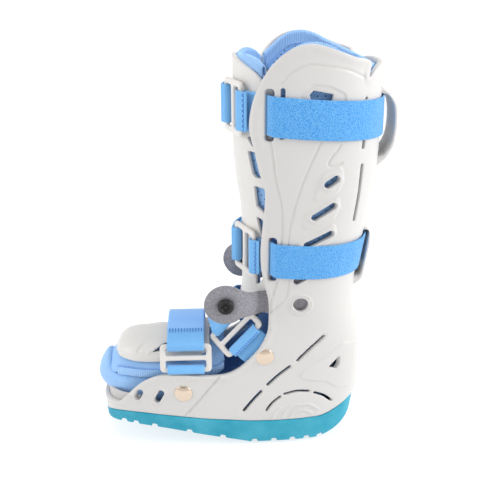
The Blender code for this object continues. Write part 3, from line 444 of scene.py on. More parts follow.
def rounded(points: Sequence[Point2], radius: float, step: float = 0.7) -> np.ndarray:
    """Polygon with round corners as an even closed line."""
    p = np.array(points, float)
    n = len(p)
    out = []
    for k in range(n):
        a = p[k - 1] - p[k]
        b = p[(k + 1) % n] - p[k]
        la = np.linalg.norm(a)
        lb = np.linalg.norm(b)
        turn = math.acos(np.clip(np.dot(a, b) / (la * lb), -1, 1))
        cut = min(radius / math.tan(0.5 * turn), 0.45 * la, 0.45 * lb)
        s = p[k] + a / la * cut
        e = p[k] + b / lb * cut
        for t in np.linspace(0, 1, 9):
            out.append((1 - t) ** 2 * s + 2 * t * (1 - t) * p[k] + t * t * e)
    out = np.array(out)
    return even(np.concatenate([out, out[:1]]), step, True)


def inside(points: np.ndarray, polygon: np.ndarray) -> np.ndarray:
    """Whether each point lies in a closed polygon."""
    hit = np.zeros(len(points), bool)
    x = points[:, 0]
    z = points[:, 1]
    for a, b in zip(polygon, np.roll(polygon, -1, axis=0)):
        if a[1] == b[1]:
            continue
        cross = (a[1] > z) != (b[1] > z)
        hit ^= cross & (x < (b[0] - a[0]) * (z - a[1]) / (b[1] - a[1]) + a[0])
    return hit


def anticlockwise(line: np.ndarray) -> np.ndarray:
    """Closed line, turned round where it runs clockwise."""
    area = np.sum(line[:, 0] * np.roll(line[:, 1], -1) - np.roll(line[:, 0], -1) * line[:, 1])
    return line if area > 0 else line[::-1]


def tree_of(points: np.ndarray) -> KDTree:
    """Search tree of points."""
    tree = KDTree(len(points))
    for k, p in enumerate(points):
        tree.insert((float(p[0]), float(p[1]), float(p[2]) if len(p) > 2 else 0.0), k)
    tree.balance()
    return tree


def distances(points: np.ndarray, tree: KDTree) -> np.ndarray:
    """Distance of each point to the nearest of a search tree."""
    if points.shape[1] == 2:
        points = np.concatenate([points, np.zeros((len(points), 1))], 1)
    return np.array([tree.find(Vector(p))[2] for p in points])


def lay_uv(mesh: bpy.types.Mesh, places: np.ndarray) -> None:
    """Give each corner its texture place, given in mm, 100 mm to one."""
    layer = mesh.uv_layers.new(name="UVMap")
    loops = np.zeros(len(mesh.loops), np.int32)
    mesh.loops.foreach_get("vertex_index", loops)
    layer.data.foreach_set("uv", (places[loops] * 0.01).astype(np.float32).ravel())


def mesh_object(name: str, points: Iterable[Sequence[float]], faces: Iterable[Sequence[int]],
                merge: float = 0.002, uv: Optional[np.ndarray] = None) -> bpy.types.Object:
    """Make a linked, smooth object from points in millimetres.

    Args:
        name: Name of the piece.
        points: Corners in the maker's frame, mm.
        faces: Corner numbers of each face.
        merge: Corners closer than this become one, mm; 0 keeps them all.
        uv: Texture place of each corner, mm.

    Returns:
        The object, in metres round the footprint's middle.
    """
    co = np.array(points, float)
    co[:, 0] += SHIFT
    mesh = bpy.data.meshes.new(name)
    mesh.from_pydata([tuple(p) for p in co * MM], [], [tuple(int(i) for i in f) for f in faces])
    if uv is not None:
        lay_uv(mesh, uv)
    bm = bmesh.new()
    bm.from_mesh(mesh)
    if merge:
        bmesh.ops.remove_doubles(bm, verts=bm.verts, dist=merge * MM)
    bmesh.ops.recalc_face_normals(bm, faces=bm.faces)
    bm.to_mesh(mesh)
    bm.free()
    mesh.shade_smooth()
    obj = bpy.data.objects.new(name, mesh)
    bpy.context.scene.collection.objects.link(obj)
    return obj


@dataclass(frozen=True)
class Mark:
    """Low relief on a moulded wall, given by a line or a closed outline seen from the side."""

    line: np.ndarray
    height: float
    reach: float
    blend: float = 0.6
    filled: bool = False

    def heights(self, flat: np.ndarray, solid: np.ndarray,
                lift: Callable[[np.ndarray], np.ndarray]) -> np.ndarray:
        """Height of the relief at points of the wall.

        Args:
            flat: Points seen from the side, x and z.
            solid: The same points in space.
            lift: Turns side-view points into points of the wall.

        Returns:
            Heights, outwards positive.
        """
        line = np.concatenate([self.line, self.line[:1]]) if self.filled else self.line
        near = tree_of(lift(even(line, 0.3)))
        reach = self.reach + self.blend
        low = self.line.min(0) - reach - 2.0
        high = self.line.max(0) + reach + 2.0
        at = np.where(np.all((flat > low) & (flat < high), axis=1))[0]
        out = np.zeros(len(flat))
        if len(at) == 0:
            return out
        d = distances(solid[at], near)
        if self.filled:
            d = np.where(inside(flat[at], self.line), d, -d)
            out[at] = self.height * smoothstep(0.5 + 0.5 * d / self.blend)
        else:
            out[at] = self.height * smoothstep((reach - d) / self.blend)
        return out


@dataclass
class MouldedWall:
    """Thin moulded wall that follows the envelope, with vents, lips and low relief.

    Built as the slides' side half and mirrored, so the seams meet in the
    middle plane. Each edge gets a round lip on both faces.
    """

    name: str
    inset: float
    thick: float
    marks: list[Mark]
    coarse: float = 2.3
    fine: float = 0.95
    lip: float = 0.8
    bead: float = 0.0
    bead_wide: float = 4.6
    mirrored: bool = True
    form: Envelope = field(default_factory=lambda: ENVELOPE)

    def lift(self, side: np.ndarray) -> np.ndarray:
        """Turn side-view points (x, z) into points of the outer face."""
        share = self.form.share(side[:, 0], side[:, 1], self.inset)
        return self.form.place(share, side[:, 1], self.inset)

    def chart(self, side: np.ndarray) -> np.ndarray:
        """Turn side-view points (x, z) into the flat chart of the wall."""
        return np.stack([self.form.share(side[:, 0], side[:, 1], self.inset) * SPAN, side[:, 1]], -1)

    def metric(self, z: np.ndarray) -> np.ndarray:
        """Real millimetres along the wall for each one of the chart."""
        return self.form.length(z) / SPAN

    def solid(self, chart: np.ndarray, depth: np.ndarray) -> np.ndarray:
        """Turn chart points into points of the wall at a depth under its outer face."""
        return self.form.place(chart[:, 0] / SPAN, chart[:, 1], self.inset + depth)

    def offset(self, line: np.ndarray, by: float, closed: bool) -> np.ndarray:
        """Move a chart line to its left by a real distance."""
        k = self.metric(line[:, 1])
        real = np.stack([line[:, 0] * k, line[:, 1]], -1)
        if closed:
            d = np.roll(real, -1, 0) - np.roll(real, 1, 0)
        else:
            d = np.gradient(real, axis=0)
        d /= np.maximum(np.linalg.norm(d, axis=1), 1e-9)[:, None]
        return line + by * np.stack([-d[:, 1] / k, d[:, 0]], -1)

    def outer_rows(self) -> list[float]:
        """Distances from the edge of the rows that shape the outer lip."""
        return [0.134 * self.lip, 0.5 * self.lip, self.lip]

    def inner_rows(self) -> list[float]:
        """Distances from the edge of the rows that shape the inner lip."""
        return [0.2 * self.lip, 0.6 * self.lip]

    def outer_depth(self, d: np.ndarray) -> np.ndarray:
        """Depth of the outer face at a distance from the edge."""
        t = np.clip(self.lip - d, 0.0, self.lip)
        return self.lip - np.sqrt(self.lip**2 - t * t)

    def inner_depth(self, d: np.ndarray) -> np.ndarray:
        """Depth of the inner face at a distance from the edge."""
        r = 0.6 * self.lip
        t = np.clip(r - d, 0.0, r)
        return self.thick - r + np.sqrt(r * r - t * t)

    def skin(self, runs: list[tuple[np.ndarray, bool, bool]], rings: Sequence[float], depth: Callable,
             relief: bool, coarse: float, fine: float,
             bead_line: Optional[np.ndarray] = None) -> tuple[np.ndarray, list, list[np.ndarray]]:
        """Triangulate one face of the wall.

        Args:
            runs: Chart lines with whether each is closed and whether it is an edge.
            rings: Distances of the rows that shape the lip.
            depth: Depth of the lip at a distance from the edge.
            relief: Whether the marks are raised on this face.
            coarse: Spacing of points away from the marks.
            fine: Spacing of points near the marks.
            bead_line: Chart line that the raised bead follows.

        Returns:
            Points, faces and, for each run, its corner numbers.
        """
        rim_solid = tree_of(np.concatenate([
            self.solid(even(np.concatenate([r, r[:1]]) if closed else r, 0.25), 0.0)
            for r, closed, edge in runs if edge]))
        border = np.concatenate([r for r, closed, _ in runs if not closed])
        holes = [r for r, closed, _ in runs if closed]

        def within(spots: np.ndarray) -> np.ndarray:
            """Whether each chart point lies inside the border and outside every hole."""
            ok = inside(spots, border)
            for hole in holes:
                ok &= ~inside(spots, hole)
            return ok

        points = [r for r, _, _ in runs]
        known = [np.zeros(len(r)) if edge else np.full(len(r), -1.0) for r, _, edge in runs]
        for by in rings:
            for r, closed, edge in runs:
                if not edge:
                    continue
                moved = self.offset(r, by, closed)
                moved = moved[within(moved)]
                if len(moved) == 0:
                    continue
                d = distances(self.solid(moved, 0.0), rim_solid)
                keep = moved[d > 0.85 * by]
                points.append(keep)
                known.append(np.full(len(keep), by))
        fixed = np.concatenate(points)
        fixed_tree = tree_of(self.solid(fixed, 0.0))
        low = border.min(0)
        high = border.max(0)
        mark_tree = None
        if relief and self.marks:
            mark_tree = tree_of(np.concatenate([
                self.lift(even(np.concatenate([m.line, m.line[:1]]) if m.filled else m.line, 0.8))
                for m in self.marks]))
        for spacing, near_only in ((fine, True), (coarse, False)):
            if near_only and mark_tree is None:
                continue
            rows = np.arange(low[1] + 0.4, high[1], spacing * 0.87)
            grid = []
            for n, z in enumerate(rows):
                k = 1.0 / float(self.metric(np.array([z]))[0])
                us = np.arange(low[0] + (0.5 * spacing * k if n % 2 else 0.0) + 0.3, high[0] - 0.2,
                               spacing * k)
                grid.append(np.stack([us, np.full_like(us, z)], -1))
            grid = np.concatenate(grid)
            grid = grid[within(grid)]
            place = self.solid(grid, 0.0)
            d = distances(place, fixed_tree)
            keep = d > 0.62 * spacing
            if mark_tree is not None:
                m = distances(place, mark_tree)
                keep &= (m < 2.6) if near_only else (m >= 2.6)
            grid = grid[keep]
            points.append(grid)
            known.append(np.full(len(grid), -1.0))
        flat = np.concatenate(points)
        known = np.concatenate(known)
        edges = []
        starts = []
        at = 0
        for r, closed, _ in runs:
            ids = np.arange(at, at + len(r))
            starts.append(ids)
            edges += [(int(a), int(b)) for a, b in zip(ids[:-1], ids[1:])]
            if closed:
                edges.append((int(ids[-1]), int(ids[0])))
            at += len(r)
        found, _, faces, origin, _, _ = delaunay_2d_cdt([Vector(p) for p in flat], edges, [], 0, 1e-4)
        if len(found) != len(flat):
            LOG.info("%s: %d chart points became %d", self.name, len(flat), len(found))
        to_new = {}
        for new, olds in enumerate(origin):
            for old in olds:
                to_new[old] = new
        chart = np.array([tuple(p) for p in found])
        given = np.full(len(chart), -1.0)
        for old, new in to_new.items():
            given[new] = max(given[new], known[old]) if known[old] != 0.0 else 0.0
        middle = np.array([chart[list(f)].mean(0) for f in faces])
        faces = [f for f, keep in zip(faces, within(middle)) if keep]
        base = self.solid(chart, 0.0)
        d = np.where(given >= 0.0, given, np.maximum(distances(base, rim_solid), 0.0))
        deep = depth(d)
        if relief:
            side = base[:, [0, 2]]
            rise = np.zeros(len(base))
            for mark in self.marks:
                rise += mark.heights(side, base, self.lift)
            if self.bead and bead_line is not None:
                top = tree_of(self.solid(even(bead_line, 0.4), 0.0))
                far = distances(base, top)
                rise += self.bead * smoothstep((self.bead_wide + 0.5 - far) / 1.0)
            deep = deep - rise
        return self.solid(chart, deep), faces, [np.array([to_new[i] for i in ids]) for ids in starts]

    def build(self, border: list[tuple[np.ndarray, bool]], holes: list[np.ndarray],
              bead_line: Optional[np.ndarray] = None) -> bpy.types.Object:
        """Make the whole wall.

        Args:
            border: Chart lines round the half wall, with whether each is an edge.
            holes: Side-view outlines of the holes.
            bead_line: Chart line that the raised bead follows.

        Returns:
            The object.
        """
        runs = [(line, False, edge) for line, edge in border]
        for hole in holes:
            chart = self.chart(hole)
            runs.append((anticlockwise(chart)[::-1], True, True))
        outer, faces, rims = self.skin(runs, self.outer_rows(), self.outer_depth, True, self.coarse,
                                       self.fine,
                                       bead_line)
        inner, under, lows = self.skin(runs, self.inner_rows(), self.inner_depth, False,
                                       1.6 * self.coarse, self.fine)
        count = len(outer)
        all_faces = [tuple(f) for f in faces] + [tuple(count + i for i in reversed(f)) for f in under]
        for (line, closed, edge), a, b in zip(runs, rims, lows):
            if not edge:
                continue
            pairs = list(zip(range(len(a) - 1), range(1, len(a))))
            if closed:
                pairs.append((len(a) - 1, 0))
            all_faces += [(a[i], a[j], count + b[j], count + b[i]) for i, j in pairs]
        half = np.concatenate([outer, inner])
        if not self.mirrored:
            return mesh_object(self.name, half, all_faces, merge=0.01)
        far = half * np.array([1.0, -1.0, 1.0])
        whole = np.concatenate([half, far])
        total = len(half)
        faces_both = all_faces + [tuple(total + i for i in reversed(f)) for f in all_faces]
        return mesh_object(self.name, whole, faces_both, merge=0.01)


class Slot(Enum):
    """Material slots that the record declares."""

    SHELL = "shell"
    PANEL = "panel"
    SOLE = "sole"
    LINER = "liner"
    STRAP = "strap"
    TAB = "tab"
    VALVE = "valve"
    SLIDE = "slide"
    RIVET = "rivet"


def linear(code: str) -> tuple[float, float, float, float]:
    """Linear colour of an sRGB hex code."""
    parts = [int(code[k:k + 2], 16) / 255.0 for k in (0, 2, 4)]
    return (*[c / 12.92 if c <= 0.04045 else ((c + 0.055) / 1.055) ** 2.4 for c in parts], 1.0)


def per_mm(size: float) -> float:
    """Texture scale that makes one pattern cell this many millimetres wide, in Object coordinates."""
    return 1000.0 / size


def add(tree: bpy.types.NodeTree, kind: str, settings: dict, links: Optional[dict] = None) -> bpy.types.Node:
    """Add a node with its settings and its incoming links.

    Args:
        tree: Tree that gets the node.
        kind: Type name of the node.
        settings: Properties by name, socket values by socket name or number.
        links: Output sockets by the input that they feed.

    Returns:
        The node.
    """
    node = tree.nodes.new(kind)
    for key, value in settings.items():
        if isinstance(key, str) and hasattr(node, key):
            setattr(node, key, value)
        else:
            node.inputs[key].default_value = value
    for key, source in (links or {}).items():
        tree.links.new(source, node.inputs[key])
    return node


@dataclass(frozen=True)
class Finish:
    """A real material with an even colour; the kinds below add what it shows up close."""

    name: str
    slot: Slot
    colour: str
    rough: float

    def material(self) -> bpy.types.Material:
        """Make the material, or give the one made before."""
        made = bpy.data.materials.get(self.name)
        if made is not None:
            return made
        made = bpy.data.materials.new(self.name)
        made.use_nodes = True
        tree = made.node_tree
        shader = tree.nodes["Principled BSDF"]
        shader.inputs["Base Color"].default_value = linear(self.colour)
        shader.inputs["Roughness"].default_value = self.rough
        made.diffuse_color = linear(self.colour)
        self.dress(tree, shader)
        return made

    def dress(self, tree: bpy.types.NodeTree, shader: bpy.types.Node) -> None:
        """Leave the even base as it is."""


@dataclass(frozen=True)
class Moulded(Finish):
    """Injection-moulded plastic with a spark-eroded grain: a soft, slightly uneven sheen."""

    grain: float = 0.45
    depth: float = 0.012
    glow: float = 0.03

    def dress(self, tree: bpy.types.NodeTree, shader: bpy.types.Node) -> None:
        """Add the tool grain, the slow sink waves and a little light inside the plastic.

        Args:
            tree: Tree of the material.
            shader: Its surface shader.
        """
        place = add(tree, "ShaderNodeTexCoord", {})
        grain = add(tree, "ShaderNodeTexNoise",
                    {"Scale": per_mm(self.grain), "Detail": 2.0, "Roughness": 0.6},
                    {"Vector": place.outputs["Object"]})
        waves = add(tree, "ShaderNodeTexNoise", {"Scale": per_mm(38.0), "Detail": 1.0},
                    {"Vector": place.outputs["Object"]})
        tone = add(tree, "ShaderNodeMapRange", {"To Min": self.rough - 0.04, "To Max": self.rough + 0.07},
                   {"Value": waves.outputs["Fac"]})
        tree.links.new(tone.outputs["Result"], shader.inputs["Roughness"])
        slow = add(tree, "ShaderNodeBump", {"Strength": 1.0, "Distance": 0.25 * MM},
                   {"Height": waves.outputs["Fac"]})
        bump = add(tree, "ShaderNodeBump", {"Strength": 1.0, "Distance": self.depth * MM},
                   {"Height": grain.outputs["Fac"], "Normal": slow.outputs["Normal"]})
        tree.links.new(bump.outputs["Normal"], shader.inputs["Normal"])
        shader.inputs["Subsurface Weight"].default_value = self.glow
        shader.inputs["Subsurface Radius"].default_value = (0.003, 0.0026, 0.0022)


@dataclass(frozen=True)
class Knit(Finish):
    """Brushed knit over foam, with rows of tiny holes: matt, with a pale bloom at the edges."""

    shade: str = "2B4F8F"
    pitch: float = 4.4
    hole: float = 0.0
    fuzz: float = 0.45
    loops: float = 0.55

    def dress(self, tree: bpy.types.NodeTree, shader: bpy.types.Node) -> None:
        """Add the knit's loops, its pinholes and its bloom.

        Args:
            tree: Tree of the material.
            shader: Its surface shader.
        """
        place = add(tree, "ShaderNodeTexCoord", {})
        knit = add(tree, "ShaderNodeTexNoise", {"Scale": per_mm(self.loops), "Detail": 2.0},
                   {"Vector": place.outputs["Object"]})
        soft = add(tree, "ShaderNodeMapRange",
                   {"From Min": 0.35, "From Max": 0.75, "To Min": 0.0, "To Max": 0.22},
                   {"Value": knit.outputs["Fac"]})
        cloth = add(tree, "ShaderNodeMix",
                    {"data_type": "RGBA", 6: linear(self.colour), 7: linear(self.shade)},
                    {0: soft.outputs["Result"]})
        tree.links.new(cloth.outputs[2], shader.inputs["Base Color"])
        bump = add(tree, "ShaderNodeBump", {"Strength": 0.8, "Distance": 0.12 * MM},
                   {"Height": knit.outputs["Fac"]})
        tree.links.new(bump.outputs["Normal"], shader.inputs["Normal"])
        if self.hole:
            turned = add(tree, "ShaderNodeMapping", {"Rotation": (0.0, 0.0, math.radians(45.0))},
                         {"Vector": place.outputs["UV"]})
            cells = add(tree, "ShaderNodeTexVoronoi",
                        {"voronoi_dimensions": "2D", "Scale": 100.0 / self.pitch, "Randomness": 0.0},
                        {"Vector": turned.outputs["Vector"]})
            size = 0.5 * self.hole / self.pitch
            holes = add(tree, "ShaderNodeMapRange",
                        {"interpolation_type": "SMOOTHSTEP", "From Min": 0.7 * size,
                         "From Max": 1.3 * size, "To Min": 1.0, "To Max": 0.0},
                        {"Value": cells.outputs["Distance"]})
            dotted = add(tree, "ShaderNodeMix", {"data_type": "RGBA", 7: linear("1F3A70")},
                         {0: holes.outputs["Result"], 6: cloth.outputs[2]})
            tree.links.new(dotted.outputs[2], shader.inputs["Base Color"])
            deep = add(tree, "ShaderNodeBump", {"Strength": 1.0, "Distance": 0.4 * MM, "invert": True},
                       {"Height": holes.outputs["Result"]})
            tree.links.new(deep.outputs["Normal"], bump.inputs["Normal"])
        shader.inputs["Sheen Weight"].default_value = self.fuzz
        shader.inputs["Sheen Roughness"].default_value = 0.5
        shader.inputs["Sheen Tint"].default_value = linear("DCEBFF")


@dataclass(frozen=True)
class Pile(Finish):
    """Loop pile of a hook-and-loop band: fuzzy, speckled, with painted shade in the hollows between the
    loops.
    """

    # darker blue painted as the shade in the hollows between the loops
    shade: str = "4298E4"
    loops: float = 0.95

    def dress(self, tree: bpy.types.NodeTree, shader: bpy.types.Node) -> None:
        """Add the loops and the fibre speckle, with painted shade in the hollows between the loops.

        Args:
            tree: Tree of the material.
            shader: Its surface shader.
        """
        place = add(tree, "ShaderNodeTexCoord", {})
        loops = add(tree, "ShaderNodeTexVoronoi", {"feature": "SMOOTH_F1", "Scale": per_mm(self.loops),
                                                   "Smoothness": 0.4}, {"Vector": place.outputs["Object"]})
        fibres = add(tree, "ShaderNodeTexNoise", {"Scale": per_mm(0.5), "Detail": 3.0, "Roughness": 0.7},
                     {"Vector": place.outputs["Object"]})
        height = add(tree, "ShaderNodeMath", {"operation": "SUBTRACT"},
                     {0: fibres.outputs["Fac"], 1: loops.outputs["Distance"]})
        # loop tops keep the colour; the hollows between them take the painted shade
        tone = add(tree, "ShaderNodeMapRange", {"From Min": -0.25, "From Max": 0.35},
                   {"Value": height.outputs["Value"]})
        mix = add(tree, "ShaderNodeMix", {"data_type": "RGBA", 6: linear(self.shade), 7: linear(self.colour)},
                  {0: tone.outputs["Result"]})
        tree.links.new(mix.outputs[2], shader.inputs["Base Color"])
        bump = add(tree, "ShaderNodeBump", {"Strength": 1.0, "Distance": 0.45 * MM},
                   {"Height": height.outputs["Value"]})
        tree.links.new(bump.outputs["Normal"], shader.inputs["Normal"])
        shader.inputs["Sheen Weight"].default_value = 0.6
        shader.inputs["Sheen Roughness"].default_value = 0.4
        shader.inputs["Sheen Tint"].default_value = linear("D5ECFF")


@dataclass(frozen=True)
class Satin(Finish):
    """Woven nylon band with a satin face: fine ribs across it and a soft sheen along it."""

    shade: str = "3F8FD8"
    rib: float = 0.7

    def dress(self, tree: bpy.types.NodeTree, shader: bpy.types.Node) -> None:
        """Add the weft ribs and the slightly uneven dye.

        Args:
            tree: Tree of the material.
            shader: Its surface shader.
        """
        place = add(tree, "ShaderNodeTexCoord", {})
        weft = add(tree, "ShaderNodeTexWave", {"bands_direction": "X", "Scale": 100.0 / self.rib / 3.18,
                                               "Distortion": 0.6, "Detail": 1.0},
                   {"Vector": place.outputs["UV"]})
        dye = add(tree, "ShaderNodeTexNoise", {"Scale": per_mm(7.0), "Detail": 3.0},
                  {"Vector": place.outputs["Object"]})
        tone = add(tree, "ShaderNodeMapRange", {"From Min": 0.3, "From Max": 0.8, "To Max": 0.16},
                   {"Value": dye.outputs["Fac"]})
        mix = add(tree, "ShaderNodeMix", {"data_type": "RGBA", 6: linear(self.colour), 7: linear(self.shade)},
                  {0: tone.outputs["Result"]})
        tree.links.new(mix.outputs[2], shader.inputs["Base Color"])
        bump = add(tree, "ShaderNodeBump", {"Strength": 0.6, "Distance": 0.05 * MM},
                   {"Height": weft.outputs["Fac"]})
        tree.links.new(bump.outputs["Normal"], shader.inputs["Normal"])
        shader.inputs["Sheen Weight"].default_value = 0.35
        shader.inputs["Sheen Roughness"].default_value = 0.35


@dataclass(frozen=True)
class Rubber(Finish):
    """Moulded foam rubber: satin, with faint cloudy colour and fine pores."""

    pale: str = "6FD0E6"

    def dress(self, tree: bpy.types.NodeTree, shader: bpy.types.Node) -> None:
        """Add the clouding and the pores.

        Args:
            tree: Tree of the material.
            shader: Its surface shader.
        """
        place = add(tree, "ShaderNodeTexCoord", {})
        cloud = add(tree, "ShaderNodeTexNoise", {"Scale": per_mm(22.0), "Detail": 4.0},
                    {"Vector": place.outputs["Object"]})
        pores = add(tree, "ShaderNodeTexNoise", {"Scale": per_mm(0.8), "Detail": 2.0},
                    {"Vector": place.outputs["Object"]})
        tone = add(tree, "ShaderNodeMapRange", {"From Min": 0.35, "From Max": 0.8, "To Max": 0.35},
                   {"Value": cloud.outputs["Fac"]})
        mix = add(tree, "ShaderNodeMix", {"data_type": "RGBA", 6: linear(self.colour), 7: linear(self.pale)},
                  {0: tone.outputs["Result"]})
        tree.links.new(mix.outputs[2], shader.inputs["Base Color"])
        bump = add(tree, "ShaderNodeBump", {"Strength": 0.7, "Distance": 0.05 * MM},
                   {"Height": pores.outputs["Fac"]})
        tree.links.new(bump.outputs["Normal"], shader.inputs["Normal"])


@dataclass(frozen=True)
class Vinyl(Finish):
    """Nylon-backed vinyl of an air cell: grey, with the backing's fine felted fibres."""

    pale: str = "9D9BA2"

    def dress(self, tree: bpy.types.NodeTree, shader: bpy.types.Node) -> None:
        """Add the felted fibres of the backing.

        Args:
            tree: Tree of the material.
            shader: Its surface shader.
        """
        place = add(tree, "ShaderNodeTexCoord", {})
        drawn = add(tree, "ShaderNodeMapping", {"Scale": (1.0, 1.0, 0.7)},
                    {"Vector": place.outputs["Object"]})
        streaks = add(tree, "ShaderNodeTexNoise", {"Scale": per_mm(0.95), "Detail": 3.0},
                      {"Vector": drawn.outputs["Vector"]})
        tone = add(tree, "ShaderNodeMapRange", {"From Min": 0.3, "From Max": 0.75},
                   {"Value": streaks.outputs["Fac"]})
        mix = add(tree, "ShaderNodeMix", {"data_type": "RGBA", 6: linear(self.colour), 7: linear(self.pale)},
                  {0: tone.outputs["Result"]})
        tree.links.new(mix.outputs[2], shader.inputs["Base Color"])
        bump = add(tree, "ShaderNodeBump", {"Strength": 0.7, "Distance": 0.08 * MM},
                   {"Height": streaks.outputs["Fac"]})
        tree.links.new(bump.outputs["Normal"], shader.inputs["Normal"])
        shader.inputs["Sheen Weight"].default_value = 0.25


@dataclass(frozen=True)
class Anodised(Finish):
    """Pressed aluminium, champagne anodised: a bright, finely frosted cap."""

    def dress(self, tree: bpy.types.NodeTree, shader: bpy.types.Node) -> None:
        """Add the metal and its frost.

        Args:
            tree: Tree of the material.
            shader: Its surface shader.
        """
        shader.inputs["Metallic"].default_value = 1.0
        place = add(tree, "ShaderNodeTexCoord", {})
        frost = add(tree, "ShaderNodeTexNoise", {"Scale": per_mm(0.35), "Detail": 2.0},
                    {"Vector": place.outputs["Object"]})
        tone = add(tree, "ShaderNodeMapRange", {"To Min": self.rough - 0.06, "To Max": self.rough + 0.1},
                   {"Value": frost.outputs["Fac"]})
        tree.links.new(tone.outputs["Result"], shader.inputs["Roughness"])
        bump = add(tree, "ShaderNodeBump", {"Strength": 0.5, "Distance": 0.01 * MM},
                   {"Height": frost.outputs["Fac"]})
        tree.links.new(bump.outputs["Normal"], shader.inputs["Normal"])


@dataclass(frozen=True)
class Thread(Finish):
    """Twisted sewing thread: fine slanting plies and a slight shine."""

    def dress(self, tree: bpy.types.NodeTree, shader: bpy.types.Node) -> None:
        """Add the plies.

        Args:
            tree: Tree of the material.
            shader: Its surface shader.
        """
        place = add(tree, "ShaderNodeTexCoord", {})
        plies = add(tree, "ShaderNodeTexWave", {"bands_direction": "DIAGONAL", "Scale": per_mm(1.6)},
                    {"Vector": place.outputs["Object"]})
        bump = add(tree, "ShaderNodeBump", {"Strength": 0.5, "Distance": 0.04 * MM},
                   {"Height": plies.outputs["Fac"]})
        tree.links.new(bump.outputs["Normal"], shader.inputs["Normal"])
        shader.inputs["Sheen Weight"].default_value = 0.3


# Injection-moulded ABS: the clean warm white of the leg and foot shell
SHELL_ABS = Moulded("shell ABS, moulded", Slot.SHELL, "CFCDCB", 0.42)
# Unpolished inside of the toe wall under the toe roll: matt, and painted a greyer tone than the shell for the
# shade in its recess
TOE_WALL_SHADED_ABS = Moulded("toe wall ABS, matt", Slot.SHELL, "C2C0BE", 0.55)
# The same resin, off another tool: a touch cooler and smoother on the shin and toe
PANEL_ABS = Moulded("panel ABS, moulded", Slot.PANEL, "D6D4D1", 0.38, grain=0.6, depth=0.008)
# Acetal slides: harder and glossier, so their round bars catch narrow lights
SLIDE_ACETAL = Moulded("slide acetal, moulded", Slot.SLIDE, "DAD6D2", 0.3, grain=0.5, depth=0.006)
# Foam rubber sole: the clear teal band under the white
SOLE_RUBBER = Rubber("sole EVA, moulded", Slot.SOLE, "0694AF", 0.55)
# Perforated brushed knit of the liners: soft mid blue that pales towards the edges
LINER_KNIT = Knit("liner knit, brushed", Slot.LINER, "90BDEF", 0.9, hole=1.1)
# The same knit without holes on the roll and the flap at the toe
PLAIN_KNIT = Knit("liner knit, plain", Slot.LINER, "9AC5F4", 0.9)
# Elastic binding round the liner's edges: a shade lighter, tight and ribbed
BINDING = Knit("binding, elastic knit", Slot.LINER, "A4CDF8", 0.85, loops=0.4)
# Loop face of the leg bands: fuzzy bright blue, with painted shade between the loops
BAND_PILE = Pile("band loop pile, nylon", Slot.STRAP, "76BBF0", 0.95)
# Satin face of the bands: smooth pale blue
BAND_SATIN = Satin("band satin, woven nylon", Slot.STRAP, "73B2E7", 0.6)
# Brushed cloth patch sewn over the toe band's end: a touch more violet than the satin
BAND_PATCH = Satin("band end patch, brushed nylon", Slot.STRAP, "8CBCF4", 0.8, shade="78AAEC")
# Sewing thread of the bands: the dark dashes at the folds
BAND_THREAD = Thread("band thread, polyester", Slot.STRAP, "2B6FC0", 0.6)
# Sewing thread of the liner, close to its cloth
LINER_THREAD = Thread("liner thread, polyester", Slot.LINER, "5E92DA", 0.65)
# Nylon-backed vinyl of the cells: mid grey with a fibrous face
CELL_VINYL = Vinyl("cell vinyl, welded", Slot.TAB, "6E6D74", 0.62)
# Black nylon valve: the small dark eye on each tab
VALVE_NYLON = Moulded("valve nylon, moulded", Slot.VALVE, "101112", 0.4, grain=0.4, depth=0.01, glow=0.0)
# Champagne aluminium rivet caps: the warmest, brightest small spots
RIVET_METAL = Anodised("rivet aluminium, anodised", Slot.RIVET, "DDCBB8", 0.14)


def loft(name: str, rings: Sequence[np.ndarray], closed: bool = False,
         uv: Optional[np.ndarray] = None) -> bpy.types.Object:
    """Closed solid through rings with the same number of points.

    Args:
        name: Name of the piece.
        rings: Rings of points, mm.
        closed: Join the last ring to the first, rather than capping both.
        uv: Texture place of each point, ring after ring, mm.

    Returns:
        The object.
    """
    count = len(rings[0])
    total = len(rings)
    faces = []
    for k in range(total if closed else total - 1):
        a = k * count
        b = ((k + 1) % total) * count
        faces += [(a + j, a + (j + 1) % count, b + (j + 1) % count, b + j) for j in range(count)]
    if not closed:
        faces += [tuple(range(count - 1, -1, -1)), tuple(range((total - 1) * count, total * count))]
    return mesh_object(name, np.concatenate(rings), faces, merge=0.0005, uv=uv)


def prism(outline: np.ndarray, y0: float = -70.0, y1: float = 70.0) -> bpy.types.Object:
    """Side-view outline (x, z) run across the boot, as a cutter."""
    return loft("cutter",
                [np.stack([outline[:, 0], np.full(len(outline), y), outline[:, 1]], -1) for y in (y0, y1)])


def carve(obj: bpy.types.Object, cutter: bpy.types.Object, operation: str) -> bpy.types.Object:
    """Apply a boolean with a cutter and throw the cutter away."""
    mod = obj.modifiers.new("carve", "BOOLEAN")
    mod.operation = operation
    mod.object = cutter
    mod.solver = "EXACT"
    fix_modifiers(obj)
    bpy.data.objects.remove(cutter, do_unlink=True)
    return obj


def fix_modifiers(obj: bpy.types.Object) -> None:
    """Turn the object's modifiers into plain mesh."""
    graph = bpy.context.evaluated_depsgraph_get()
    made = bpy.data.meshes.new_from_object(obj.evaluated_get(graph))
    old = obj.data
    obj.modifiers.clear()
    obj.data = made
    made.name = obj.name
    bpy.data.meshes.remove(old)


def triples(items: bpy.types.bpy_prop_collection, key: str) -> np.ndarray:
    """Three numbers of each corner or face of a mesh, as rows."""
    out = np.zeros(len(items) * 3)
    items.foreach_get(key, out)
    return out.reshape(-1, 3)


def coordinates(obj: bpy.types.Object) -> np.ndarray:
    """Corners of a mesh in the maker's frame, mm."""
    co = triples(obj.data.vertices, "co") / MM
    co[:, 0] -= SHIFT
    return co


